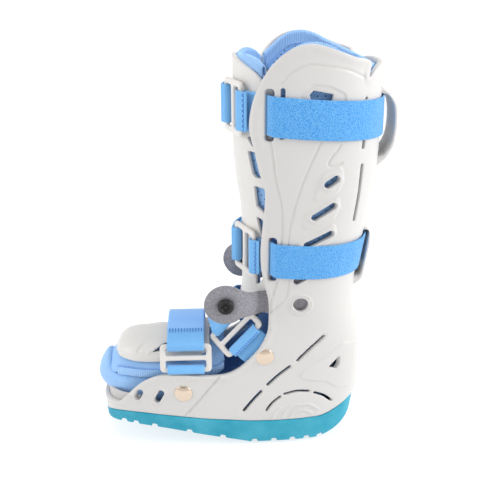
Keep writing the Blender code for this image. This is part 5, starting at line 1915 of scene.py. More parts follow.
@dataclass
class Arch:
    """Arched plate or flap over the forefoot, from rows of x, crown z, half width and edge z."""

    rows: Sequence[Sequence[float]]
    thick: float
    square: float = 2.4
    stations: int = 110
    count: int = 61

    def ring(self, x: float, thick: float, shrink: float = 0.0) -> np.ndarray:
        """Section of the arch at x, with round lower edges."""
        crown, half, edge = Table(self.rows).at(np.array(x, float))
        ang = np.linspace(0.0, math.pi, self.count)
        y = np.sign(np.cos(ang)) * np.abs(np.cos(ang)) ** (2.0 / self.square)
        h = np.abs(np.sin(ang)) ** (2.0 / self.square)
        crown = crown - shrink
        half = half - shrink
        outer = np.stack([np.full_like(y, x), half * y, edge + (crown - edge) * h], -1)
        inner = np.stack([np.full_like(y, x), (half - thick) * y, edge + (crown - thick - edge) * h], -1)
        tips = []
        for end in (0, -1):
            turn = np.linspace(0.0, math.pi, 7)[1:-1]
            mid = 0.5 * (outer[end] + inner[end])
            out = 0.5 * (outer[end] - inner[end])
            tips.append(mid + np.cos(turn)[:, None] * out - np.sin(turn)[:, None] * np.array([0, 0,
                                                                                              0.5 * thick]))
        return np.concatenate([outer, tips[1], inner[::-1], tips[0][::-1]])

    def build(self, name: str, around: float = 0.9) -> bpy.types.Object:
        """Loft the sections, easing the thickness at both ends into a round lip."""
        x0, x1 = self.rows[0][0], self.rows[-1][0]
        rings = []
        for t in np.linspace(0.0, 1.0, self.stations):
            x = x0 + (x1 - x0) * (0.5 - 0.5 * math.cos(math.pi * t))
            d = min(x - x0, x1 - x)
            fall = around - math.sqrt(max(around**2 - max(around - d, 0.0) ** 2, 0.0))
            rings.append(self.ring(x, self.thick - 1.8 * fall, 0.9 * fall))
        return loft(name, rings)


@dataclass
class ToePanel:
    """White moulded plate over the toes, with a long pointed slot in each side."""

    finish: Finish = PANEL_ABS

    def build(self) -> None:
        """Make the panel."""
        obj = Arch(TOE_PANEL, PANEL, stations=150, count=81).build("toe_plate")
        points = coordinates(obj)
        groove = spline([(-99.6, 89.2), (-97.4, 91.4), (-90, 95.2), (-78, 98.4), (-66, 99.6)], 0.6)
        lip = spline([(-90.4, 88.8), (-76.6, 95.8), (-60, 98.6)], 0.6)
        rise = np.zeros(len(points))
        for line, height, reach in ((groove, -0.8, 0.7), (lip, 0.6, 1.0)):
            d = distances(points[:, [0, 2]], tree_of(line))
            rise += height * smoothstep((reach + 0.7 - d) / 0.7)
        mesh = obj.data
        normals = np.zeros(len(mesh.vertices) * 3)
        mesh.vertices.foreach_get("normal", normals)
        normals = normals.reshape(-1, 3)
        side = smoothstep((np.abs(points[:, 1]) - 14.0) / 6.0) * (np.abs(points[:, 1]) > 0)
        outer = np.where(np.sum(normals * np.stack([0 * rise, points[:, 1], points[:, 2] - 80.0], -1),
                                axis=1) > 0, 1, 0)
        set_coordinates(obj, points + normals * (rise * side * outer)[:, None])
        slot = rounded([(-88.6, 88.6), (-77, 94), (-62, 96.4), (-44, 97.2), (-44, 91.6), (-60, 90.6),
                        (-77, 89.4)], 0.8)
        carve(obj, prism(slot), "DIFFERENCE")
        finish_piece(obj, self.finish, "toe_panel")


def oval_rings(form: Envelope, levels: np.ndarray, inset: Callable[[np.ndarray], np.ndarray],
               count: int = 150) -> list[np.ndarray]:
    """Rings of a form at several heights, moved inwards."""
    angle = np.linspace(0.0, 2.0 * math.pi, count, endpoint=False)
    rings = []
    for z in levels:
        level = np.full_like(angle, z)
        x, y = form.plan(angle, level, inset(level))
        rings.append(np.stack([x, y * np.sign(np.sin(angle)), level], -1))
    return rings


@dataclass
class Liners:
    """Padded blue liners: calf sleeve, tongue, foot trough and toe flap."""

    finish: Finish = LINER_KNIT
    plain: Finish = PLAIN_KNIT
    binding: Finish = BINDING
    rim: float = 11.0
    tuck: float = 7.6
    tongue_top: tuple = ((-12, 337.6), (-5, 340.6), (2, 338.6), (10.2, 332.5))

    def leg_inset(self, z: np.ndarray) -> np.ndarray:
        """Outside of the leg liner: close to the shell above, clear of the cell below."""
        return 7.2 - 2.4 * smoothstep((np.asarray(z, float) - 178.0) / 32.0)

    def hollow_tube(self, name: str, form: Envelope, levels: np.ndarray, inset: Callable,
                    outline: Sequence[Point2],
                    inner_levels: Optional[np.ndarray] = None, hollow: Optional[Sequence[Point2]] = None,
                    thick: float = PAD) -> bpy.types.Object:
        """Tube of a form, trimmed to a side-view outline.

        Args:
            name: Name of the piece.
            form: Envelope of the outside.
            levels: Heights of the outer rings.
            inset: Inset of the outside at a height.
            outline: Side view that it is trimmed to.
            inner_levels: Heights of the inner rings.
            hollow: Side view that the hollow is trimmed to.
            thick: Thickness of the wall.

        Returns:
            The closed form.
        """
        obj = loft(name, oval_rings(form, levels, inset))
        carve(obj, prism(np.array(outline, float)), "INTERSECT")
        inner = loft("inner", oval_rings(form, levels if inner_levels is None else inner_levels,
                                         lambda z: inset(z) + thick))
        if hollow is not None:
            carve(inner, prism(np.array(hollow, float)), "INTERSECT")
        return carve(obj, inner, "DIFFERENCE")

    def rim_height(self, x: np.ndarray) -> np.ndarray:
        """Height of the leg liner's rim along the boot."""
        return Table([(10.4, 341), (12, 343)] + LEG_RIM).at(x)[:, 0] - self.tuck

    def edge_band(self, name: str, share: np.ndarray, heights: np.ndarray, inset: Callable, tall: float,
                  thick: float, out: float = 0.55) -> bpy.types.Object:
        """Ribbed binding folded over an edge of a liner.

        Args:
            name: Name of the piece.
            share: Places round the form along the edge.
            heights: Height of the edge at each.
            inset: Inset of the liner's outside at a height.
            tall: How far the binding comes down.
            thick: Thickness of the liner there.
            out: How far the binding stands off the liner.

        Returns:
            The binding.
        """
        r = 0.5 * thick + out
        profile = [(-tall + 0.2, 0.0)] + [(-t, 0.0) for t in np.linspace(tall - 0.6, r, 7)]
        profile += [(-r + r * math.sin(a), r - r * math.cos(a)) for a in np.linspace(0.0, math.pi, 13)[1:-1]]
        profile += [(-t, 2.0 * r) for t in np.linspace(r, tall - 0.6, 7)] + [(-tall + 0.2, 2.0 * r)]
        core = [(-tall - 0.1, 2.0 * r - 0.9), (-r - 1.0, 2.0 * r - 1.1), (-0.9 - 0.5 * r, 1.6 * r),
                (-0.95, r),
                (-0.9 - 0.5 * r, 0.4 * r), (-r - 1.0, 1.1), (-tall - 0.1, 0.9)]
        loop = np.array(profile + core)
        ribs = np.array([1.0] * len(profile) + [0.0] * len(core))
        signs = np.sign(share)
        ring_list = []
        run = 0.0
        last = None
        for a, top, sign in zip(np.abs(share), heights, signs):
            z = top + loop[:, 0]
            base = inset(z) - out + loop[:, 1]
            here = ENVELOPE.place(np.full(len(z), a), np.full(len(z), top), inset(np.full(len(z), top)))[0]
            here[1] *= sign
            if last is not None:
                run += float(np.linalg.norm(here - last))
            last = here
            wave = 0.24 * math.cos(2.0 * math.pi * run / 1.7)
            middle = np.array([-r, r])
            away = loop - middle
            away /= np.maximum(np.linalg.norm(away, axis=1), 1e-6)[:, None]
            z = z + wave * ribs * np.maximum(away[:, 0], 0.0)
            base = base + wave * ribs * np.sign(away[:, 1]) * np.minimum(1.0, np.abs(away[:, 1]) * 1.6)
            points = ENVELOPE.place(np.full(len(z), a), z, base)
            points[:, 1] *= sign
            ring_list.append(points)
        return loft(name, ring_list)

    def leg(self, stamp: Stamp) -> None:
        """Make the calf sleeve with its binding and stitches."""
        front = PANEL_BACK_X + 1.0
        top = [(x, z - self.tuck) for x, z in [(10.5, 341)] + LEG_RIM]
        outline = [(front, 104), (front, 320), (10.5, 325)] + top + [(110, 104)]
        levels = np.linspace(109.0, 362.0, 64)
        obj = self.hollow_tube("leg_pad", ENVELOPE, levels, self.leg_inset, outline,
                               np.concatenate([[104.0], levels[1:-1], [370.0]]))

        def seams(points: np.ndarray) -> np.ndarray:
            """Pinned rows: the rim's stitch line, quilting rows and the front edges."""
            top = self.rim_height(points[:, 0])
            pins = np.exp(-((top - self.rim - 1.0 - points[:, 2]) / 1.3) ** 2)
            for z in (292.0, 236.0, 176.0, 126.0):
                pins = np.maximum(pins, 0.9 * np.exp(-((points[:, 2] - z) / 1.3) ** 2))
            return np.maximum(pins, 0.8 * (points[:, 0] < front + 1.2))

        Cushion(voxel=2.9).blow(obj, seams)
        unwrap(obj, ENVELOPE)
        finish_piece(obj, self.finish, "leg_liner")
        first = float(ENVELOPE.share(np.array([11.6]), np.array([350.0]), 3.6)[0])
        ends = np.linspace(-first, first, 1000)
        ends = ends[np.abs(ends) > 1e-4]
        xs = ENVELOPE.place(np.abs(ends), np.full(len(ends), 345.0), 3.6)[:, 0]
        heights = self.rim_height(xs)
        band = self.edge_band("leg_binding", ends, heights, self.leg_inset, self.rim, PAD - 1.2)
        finish_piece(band, self.binding, "leg_liner")
        self.stitches(stamp, "leg_stitches", ends, heights - self.rim + 0.9, self.leg_inset, 2.6,
                      PAD + 0.4)

    def stitches(self, stamp: Stamp, name: str, share: np.ndarray, heights: np.ndarray, inset: Callable,
                 pitch: float, thick: float) -> None:
        """Rows of stitches on both faces of a liner, along an edge."""
        rows = []
        ups = []
        runs = []
        for depth, face in ((-0.25, 1.0), (thick + 0.25, -1.0)):
            line = ENVELOPE.place(np.abs(share), heights, inset(heights) + depth)
            line[:, 1] *= np.sign(share)
            out = ENVELOPE.place(np.abs(share), heights, inset(heights) + depth - 1.0)
            out[:, 1] *= np.sign(share)
            d = out - line
            size = np.concatenate([[0.0], np.cumsum(np.linalg.norm(np.diff(line, axis=0), axis=1))])
            at = np.arange(1.5, size[-1] - 1.5, pitch)
            spot = np.stack([np.interp(at, size, line[:, c]) for c in range(3)], -1)
            way = np.stack([np.interp(at, size, d[:, c]) for c in range(3)], -1) * face
            run, up = frames(spot, way)
            rows.append(spot)
            runs.append(run)
            ups.append(up)
        obj = stamp.put(name, np.concatenate(rows), np.concatenate(runs), np.concatenate(ups),
                        pill(pitch * 0.72, 0.55, 0.5), LINER_THREAD)
        finish_piece(obj, LINER_THREAD, "leg_liner")

    def tongue(self) -> None:
        """Make the tongue behind the shin panel, with its binding."""
        inset = TONGUE_IN
        top_line = Table([(-20, 335.0)] + list(self.tongue_top))
        outline = [(-30, 334)] + list(self.tongue_top) + [(10.2, 318), (13.5, 314), (13.5, 205), (9, 190),
                                                          (9, 128),
                                                          (-30, 128)]
        levels = np.linspace(136.0, 348.0, 50)
        obj = self.hollow_tube("tongue_pad", ENVELOPE, levels, lambda z: inset + 0.0 * z, outline,
                               np.concatenate([[130.0], levels[1:-1], [355.0]]))

        def seams(points: np.ndarray) -> np.ndarray:
            """Pinned rows under the binding and down the middle."""
            top = top_line.at(points[:, 0])[:, 0]
            pins = np.exp(-((top - 9.0 - points[:, 2]) / 1.3) ** 2)
            return np.maximum(pins, 0.8 * (points[:, 0] > 7.6))

        Cushion(voxel=2.4).blow(obj, seams)
        unwrap(obj, ENVELOPE)
        finish_piece(obj, self.finish, "shin_tongue")
        last = float(ENVELOPE.share(np.array([7.4]), np.array([336.0]), inset)[0])
        share = np.linspace(last, 2.0 - last, 440)
        share = np.where(share > 1.0, share - 2.0, share)
        xs = ENVELOPE.place(np.abs(share), np.full(len(share), 340.0), inset)[:, 0]
        heights = top_line.at(xs)[:, 0] + 0.5
        band = self.edge_band("tongue_binding", share, heights, lambda z: inset + 0.0 * z, 8.4, PAD - 1.0)
        finish_piece(band, self.binding, "shin_tongue")

    def foot(self) -> None:
        """Make the foot trough with the roll at the toe."""
        lift = FIT + WALL + FIT
        rows = []
        for z, front, half, square in FOOT_LINER:
            back = float(ENVELOPE.table.at(np.array(float(z)))[1]) - FOOT_IN
            rows.append((z, front, back, half, square))
        form = Envelope([(20.0,) + rows[0][1:]] + rows)
        floor = [(x, top + lift) for x, _, top in SOLE_ROWS]
        under = [(-150, 41.6), (-124, 41.6), (-118, 39.0), (-104, 37.9 + FIT)] + floor[5:]
        outline = under + [(130, floor[-1][1])] + FOOT_LINER_TOP[::-1]
        sock = [(-150, 46.8), (-112, 46.0), (-98, 43.2)] + [(x, z + PAD) for x, z in floor[5:]]
        hollow = sock + [(130, floor[-1][1] + PAD), (130, 130), (-150, 130)]
        levels = np.linspace(26.0, 108.0, 50)
        obj = self.hollow_tube("foot_pad", form, levels, lambda z: 0.0 * z, outline,
                               np.concatenate([levels[:-1], [116.0]]), hollow)

        def seams(points: np.ndarray) -> np.ndarray:
            """Pinned: the floor and the edges under the flap, so that the toe roll swells between them."""
            top = np.interp(points[:, 0], [p[0] for p in FOOT_LINER_TOP], [p[1] for p in FOOT_LINER_TOP])
            pins = 0.7 * np.exp(-((top - 5.0 - points[:, 2]) / 1.2) ** 2) * (points[:, 0] > -112.0)
            floor_z = np.interp(points[:, 0], [p[0] for p in under], [p[1] for p in under])
            return np.maximum(pins, 0.9 * ((points[:, 2] - floor_z) < 7.0) * (points[:, 0] > -110.0))

        Cushion(voxel=2.3, shrink=0.9, cap=1.5).blow(obj, seams, smooth=14)
        points = coordinates(obj)
        swell = 2.0 * smoothstep((-100.0 - points[:, 0]) / 14.0) * smoothstep((points[:, 2] - 46.0) / 14.0)
        set_coordinates(obj, points + triples(obj.data.vertices, "normal") * swell[:, None])
        mesh = bmesh.new()
        mesh.from_mesh(obj.data)
        roll = [v for v in mesh.verts if v.co.x < (SHIFT - 106.0) * MM and v.co.z > 58.0 * MM]
        for _ in range(24):
            bmesh.ops.smooth_vert(mesh, verts=roll, factor=0.5, use_axis_x=True, use_axis_y=True,
                                  use_axis_z=True)
        mesh.to_mesh(obj.data)
        mesh.free()
        unwrap(obj, form)
        finish_piece(obj, self.plain, "foot_liner")

    def vamp(self, stamp: Stamp) -> None:
        """Make the toe flap with its ribbed binding and gathers."""
        arch = Arch(VAMP, PAD - 1.0, square=1.8, stations=90, count=61)
        obj = arch.build("vamp_pad", around=1.6)

        def seams(points: np.ndarray) -> np.ndarray:
            """Pinned rows: just above the binding."""
            edge = Table(VAMP).at(points[:, 0])[:, 2]
            return np.exp(-((edge + 8.0 - points[:, 2]) / 1.1) ** 2)

        Cushion(voxel=2.0, shrink=0.8, cap=1.1).blow(obj, seams, smooth=8)
        finish_piece(obj, self.plain, "vamp_flap")
        xs = np.linspace(-119.0, -24.0, 450)
        bands = []
        spots = []
        runs = []
        ups = []
        for side in (-1.0, 1.0):
            rings = []
            run = 0.0
            top_line = []
            for x in xs:
                crown, half, edge = Table(VAMP).at(np.array(x))
                run += xs[1] - xs[0]
                wave = 0.24 * math.cos(2.0 * math.pi * run / 1.6)
                loop = []
                for h in np.linspace(6.6, 0.0, 9):
                    loop.append((h, 0.5 + wave if h < 6.5 else 0.2))
                for a in np.linspace(0.0, math.pi, 9)[1:-1]:
                    loop.append((-2.0 * math.sin(a) * (1 + 0.05 * wave), -2.0 + (2.5 + wave) * math.cos(a)))
                loop += [(h, -4.4) for h in (0.0, 2.5, 5.0)]
                loop += [(5.0, -3.2), (1.0, -3.2), (-0.6, -2.0), (1.0, -0.8), (6.0, -0.6)]
                ring = []
                for h, out in loop:
                    s = min(max(h, 0.0) / (crown - edge), 0.98)
                    y = half * max(1.0 - s**arch.square, 0.0) ** (1.0 / arch.square) + out
                    ring.append((x, side * y, edge + h))
                rings.append(np.array(ring))
                top_line.append((x, rings[-1][1][1] + side * 0.1, edge + 6.9))
            bands.append(loft("band", rings))
            line = even(np.array(top_line), 2.1)
            run_way, up = frames(line, np.tile([0.0, side, 0.15], (len(line), 1)))
            spots.append(line)
            runs.append(run_way)
            ups.append(up)
        band = join("vamp_binding", bands)
        finish_piece(band, self.binding, "vamp_flap")
        rows = stamp.put("vamp_stitches", np.concatenate(spots), np.concatenate(runs), np.concatenate(ups),
                         pill(1.5, 0.5, 0.5), LINER_THREAD)
        finish_piece(rows, LINER_THREAD, "vamp_flap")

    def build(self, stamp: Stamp) -> None:
        """Make all four liners."""
        self.leg(stamp)
        self.tongue()
        self.foot()
        self.vamp(stamp)


@dataclass
class Slide:
    """White double-slot slide with round bars."""

    name: str
    centre: Sequence[float]
    bars: Sequence[float]
    across: Sequence[float]
    normal: Sequence[float]
    gap: float
    clear: float
    finish: Finish = SLIDE_ACETAL

    def build(self) -> None:
        """Make the slide."""
        bars = np.array(Vector(self.bars).normalized())
        across = np.array(Vector(self.across).normalized())
        normal = np.array(Vector(self.normal).normalized())
        h = 0.5 * BAR + 0.6
        g = 0.5 * self.gap
        c = 0.5 * self.clear
        wide = c + BAR + 1.7
        if np.dot(np.cross(bars, across), normal) < 0:
            across = -across
        plate = FlatPlate(self.name + "_moulding", 0.0, SLIDE_T + 0.7, [], coarse=1.0, fine=1.0, lip=1.5,
                          mirrored=False,
                          centre=tuple(self.centre), u=tuple(bars), v=tuple(across), n=tuple(normal))
        outline = rounded([(-wide, -g - h), (wide, -g - h), (wide, g + h), (-wide, g + h)], 4.8, 0.6)
        holes = [rounded([(-c, a), (c, a), (c, b), (-c, b)], 1.7, 0.6) for a, b in ((-g + h, -h), (h, g - h))]
        finish_piece(plate.plate(outline, holes), self.finish, self.name)


@dataclass
class LegStrap:
    """Leg band through the shell's slots, folded round its slide in front of the shin."""

    name: str
    middle: float
    fall: float
    start: float
    pile: Finish = BAND_PILE
    satin: Finish = BAND_SATIN

    def front(self, z: float, y: float, off: float) -> Point2:
        """Plan point in front of the shin panel."""
        at, normal = ENVELOPE.front_frame(z, y, PANEL_IN)
        return at[0] + off * normal[0], at[1] + off * normal[1]

    def path(self, z: float, near: Point2, far: Point2, run: Point2, out: Point2) -> list[Point2]:
        """Plan path of one edge of the band, from the near tail to the far one."""

        def wall(x: float, inset: float, side: float) -> Point2:
            """Plan point at a distance inside the shell's outer face."""
            return x, side * ENVELOPE.half_at(z - self.fall * x, x, inset)

        start = self.start
        deep = STRAP_IN + 0.7
        turn = [(start - 1.0, deep), (start + 1.2, deep - 0.3), (start + 5.6, -0.8), (start + 7.9, STRAP_OUT)]
        sides = [start + 14, 40, 52, 62, 70]
        back_z = z - 90.0 * self.fall
        wide = float(ENVELOPE.table.at(np.array(back_z))[2]) - STRAP_OUT
        path = [wall(near[0] + 3.8, -FIT, -1)]
        path += hairpin(near, run, out, 5)
        path += [wall(start - 5.6, deep, -1)]
        path += [wall(x, d, -1) for x, d in turn]
        path += [wall(x, STRAP_OUT, -1) for x in sides]
        for share in (-0.86, -0.72, -0.55, -0.36, -0.13, 0.13, 0.36, 0.55, 0.72, 0.86):
            path.append((ENVELOPE.back_at(back_z, share * wide, STRAP_OUT), share * wide))
        path += [wall(x, STRAP_OUT, 1) for x in reversed(sides)]
        path += [wall(x, d, 1) for x, d in reversed(turn)]
        path += [wall(start - 6.6, deep, 1)]
        path += [self.front(z, y, 0.5 * BAND + 2.0 * FIT) for y in (28.0, 21.0, 14.0)]
        path += hairpin(far, (-run[0], -run[1]), (-out[0], -out[1]), 5)
        path += [self.front(z, 9.0, 6.0), self.front(z, 18.0, 4.4), self.front(z, 25.0, 3.6)]
        return path

    def build(self, stamp: Stamp) -> None:
        """Make the band, its slide and its stitches."""
        top_z = self.middle + 0.5 * BAND_W + 1.0
        off = LOOP_R + 0.5 * BAND + FIT
        near = self.front(top_z, -27.5, off)
        far = self.front(top_z, -4.5, off)
        gap = math.dist(near, far)
        run = ((near[0] - far[0]) / gap, (near[1] - far[1]) / gap)
        out = (run[1], -run[0])
        if out[0] > 0:
            out = (-out[0], -out[1])
        mid_x = 0.5 * (near[0] + far[0])
        Slide(self.name + "_slide", (mid_x, 0.5 * (near[1] + far[1]), self.middle - self.fall * mid_x),
              (0, 0, 1), (run[0], run[1], 0), (out[0], out[1], 0), gap, BAND_W + 2.0).build()
        low, high = [self.path(self.middle + e * 0.5 * BAND_W, near, far, run, out) for e in (-1, 1)]
        band = Band(self.name + "_band", (0, 0, self.middle), (1, 0, 0), (0, 1, 0), (0, 0, 1), BAND_W, low,
                    high,
                    lambda s: -self.fall * s)
        obj = band.build()
        obj.data.materials.append(self.satin.material())
        obj.data.materials.append(self.pile.material())
        outside = triples(obj.data.polygons, "center")[:, 0] / MM - SHIFT > self.start + 3.2
        obj.data.polygons.foreach_set("material_index", outside.astype(np.int32))
        finish_piece(obj, self.satin, self.name + "_strap")
        spots, runs, ups = [], [], []
        line = band.at(0.0, 0.0)
        near_side = np.where((line[:, 1] < 0) & (line[:, 0] < self.start))[0]
        tail = near_side[3]
        for w in np.linspace(-0.9, 0.9, 15):
            core = band.at(w, 0.0)[tail]
            spot = min((band.at(w, lift)[tail] for lift in (-0.5 * BAND - 0.1, 0.5 * BAND + 0.1)),
                       key=lambda p: p[1])
            spots.append(spot)
            runs.append((0.9 if len(spots) % 2 else -0.9, 0.0, 1.0))
            ups.append(spot - core)
        rows = stamp.put(self.name + "_stitches", np.array(spots), np.array(runs), np.array(ups),
                         pill(2.5, 0.75, 0.6), BAND_THREAD)
        finish_piece(rows, BAND_THREAD, self.name + "_strap")


def across_stitches(stamp: Stamp, name: str, band: Band, index: int, outward: Sequence[float], length: float,
                    node: str, count: int = 12) -> None:
    """Row of stitches across a band, each lying along it.

    Args:
        stamp: Tree that sets them.
        name: Name of the piece.
        band: The band.
        index: Place along the band's line of points.
        outward: Direction of the face that shows them.
        length: Length of a stitch, mm.
        node: CAD node that the band stands for.
        count: Number of stitches.
    """
    spots, runs, ups = [], [], []
    for w in np.linspace(-0.86, 0.86, count):
        faces = [band.at(w, lift) for lift in (-0.5 * BAND - 0.1, 0.5 * BAND + 0.1)]
        line = max(faces, key=lambda face: float(np.dot(face[index], outward)))
        spots.append(line[index])
        runs.append(line[index + 1] - line[index - 1])
        ups.append(line[index] - band.at(w, 0.0)[index])
    rows = stamp.put(name, np.array(spots), np.array(runs), np.array(ups), pill(length, 0.85, 0.6),
                     BAND_THREAD)
    finish_piece(rows, BAND_THREAD, node)


@dataclass
class ToeStrap:
    """Toe band over the toe panel, its near anchor and its slide."""

    satin: Finish = BAND_SATIN
    patch: Finish = BAND_PATCH

    def side(self, z: float) -> float:
        """Distance from the middle of the strap's ends inside the shell."""
        rim = ENVELOPE.half_at(73.0, TOE_X - 17.0, STRAP_IN) - 0.9
        low = ENVELOPE.half_at(46.0, TOE_X - 17.0, STRAP_IN) - 0.4
        return rim + (low - rim) * (68.0 - z) / 22.0

    def build(self, stamp: Stamp) -> None:
        """Make the band, the anchor and the slide."""
        low, high = TOE_BARS
        gap = math.dist(low, high)
        run = ((high[0] - low[0]) / gap, (high[1] - low[1]) / gap)
        out = (-run[1], run[0])
        Slide("toe_slide", (TOE_X, 0.5 * (low[0] + high[0]), 0.5 * (low[1] + high[1])), (1, 0, 0),
              (0, run[0], run[1]), (0, out[0], out[1]), gap, BAND_W + 5.0).build()
        rim = self.side(68.0)
        side = self.side(46.0)
        over = [(-13.0, 112.2), (-19.5, 109.2), (-26.0, 105.4)]
        over += hairpin(high, run, out, 5)
        over += [(-23.6, 102.0), (-16.5, 106.8), (-9.0, 110.6), (0.0, 112.4), (10.0, 111.0), (20.0, 106.2),
                 (29.0, 98.0), (34.0, 87.0), (rim, 76.0), (rim, 68.0), (side, 46.0)]
        place = ((TOE_X, 0, 0), (0, 1, 0), (0, 0, 1), (1, 0, 0), BAND_W + 2.0)
        band = Band("toe_band", *place, over)
        obj = band.build()
        obj.data.materials.append(self.satin.material())
        obj.data.materials.append(self.patch.material())
        seam = (band.at(0.0, 0.0)[11][2] + 1.6) * MM
        above = triples(obj.data.polygons, "center")[:, 2] > seam
        obj.data.polygons.foreach_set("material_index", above.astype(np.int32))
        finish_piece(obj, self.satin, "toe_strap")
        across_stitches(stamp, "toe_stitches", band, 11, (0, -1, 1), 4.4, "toe_strap")
        anchor = [(low[0] - 2.4, low[1] - 2.2)] + hairpin(low, (-run[0], -run[1]), out, 5)
        anchor += [(-rim + 0.1, 71.5), (-rim, 67.0), (-side, 46.0)]
        finish_piece(Band("toe_anchor_band", *place, anchor).build(), self.satin, "toe_anchor")


@dataclass
class AnkleStrap:
    """Instep band, its near anchor and its slide."""

    satin: Finish = BAND_SATIN

    def build(self, stamp: Stamp) -> None:
        """Make the band, the anchor and the slide."""
        u = ANKLE_U
        v = (u[1], -u[0])
        low, high = ANKLE_BARS
        gap = math.dist(low, high)
        run = ((high[0] - low[0]) / gap, (high[1] - low[1]) / gap)
        out = (run[1], -run[0])
        if out[1] > 0:
            out = (-out[0], -out[1])
        origin = (ANKLE_ORIGIN[0], 0.0, ANKLE_ORIGIN[1])
        mid_s = 0.5 * (low[0] + high[0])
        Slide("ankle_slide", (origin[0] + mid_s * v[0], 0.5 * (low[1] + high[1]), origin[2] + mid_s * v[1]),
              (u[0], 0, u[1]), (run[0] * v[0], run[1], run[0] * v[1]), (out[0] * v[0], out[1], out[0] * v[1]),
              gap,
              BAND_W + 5.0).build()
        x, z = RIVETS[0]
        end = (x - origin[0]) * v[0] + (z - origin[2]) * v[1]
        side = ENVELOPE.half_at(z, x, STRAP_IN) - 0.6
        place = (origin, (v[0], 0, v[1]), (0, 1, 0), (u[0], 0, u[1]), BAND_W + 2.0)
        over = [(-17.6, 1.0), (-17.4, -6.0), (-15.4, -13.6)]
        over += hairpin(high, run, out, 5)
        over += [(-12.2, -14.6), (-14.6, -7.0), (-15.2, 0.0), (-14.4, 8.0), (-11.0, 18.0), (-5.0, 27.0),
                 (4.0, 33.4), (16.0, side - 0.2), (end, side), (end + 9.0, side)]
        finish_piece(Band("ankle_band", *place, over).build(), self.satin, "ankle_strap")
        anchor = [(low[0] + 3.4, low[1] - 3.0)] + hairpin(low, (-run[0], -run[1]), out, 5)
        anchor += [(19.0, -side + 0.6), (24.0, -side), (end, -side), (end + 9.0, -side)]
        band = Band("ankle_anchor_band", *place, anchor)
        finish_piece(band.build(), self.satin, "ankle_anchor")
        across_stitches(stamp, "ankle_stitches", band, 2, (0, -1, 0), 2.8, "ankle_anchor", 13)


@dataclass
class Rivets:
    """Four domed rivets through the shell and the strap ends."""

    finish: Finish = RIVET_METAL

    def profile(self, depth: float) -> list[Point2]:
        """Radius and height of the dome, its rolled rim, the stem and the burr."""
        dome = [(0.94 * RIVET_R * t, 0.6 + RIVET_RISE * (1.0 - t * t)) for t in np.linspace(0.0, 1.0, 14)]
        roll = []
        for k in range(1, 7):
            a = 0.5 * math.pi * k / 6
            roll.append((RIVET_R * (0.94 + 0.06 * math.sin(a)), 0.1 + 0.5 * math.cos(a)))
        return dome + roll + [(STEM_R, 0.1), (STEM_R, -depth),
                              (STEM_R * 1.7, -depth), (STEM_R * 1.7, -depth - 0.5), (0.0, -depth - 0.5)]

    def build(self) -> None:
        """Make the rivets."""
        x, z = RIVETS[0]
        ankle = ENVELOPE.half_at(z, x, STRAP_IN) - 0.6
        toe = ToeStrap().side(RIVETS[1][1])
        for base, (x, z), strap in (("rivet_ankle", RIVETS[0], ankle), ("rivet_toe", RIVETS[1], toe)):
            depth = ENVELOPE.half_at(z, x) - strap + 0.5 * BAND + FIT
            for side, label in ((-1, "near"), (1, "far")):
                slope = (ENVELOPE.half_at(z, x + 2) - ENVELOPE.half_at(z, x - 2)) / 4.0
                lean = (ENVELOPE.half_at(z + 2, x) - ENVELOPE.half_at(z - 2, x)) / 4.0
                obj = lathe(base + "_cap_" + label, self.profile(depth),
                            (x, side * ENVELOPE.half_at(z, x), z),
                            (-slope, side, -lean))
                finish_piece(obj, self.finish, base + "_" + label)


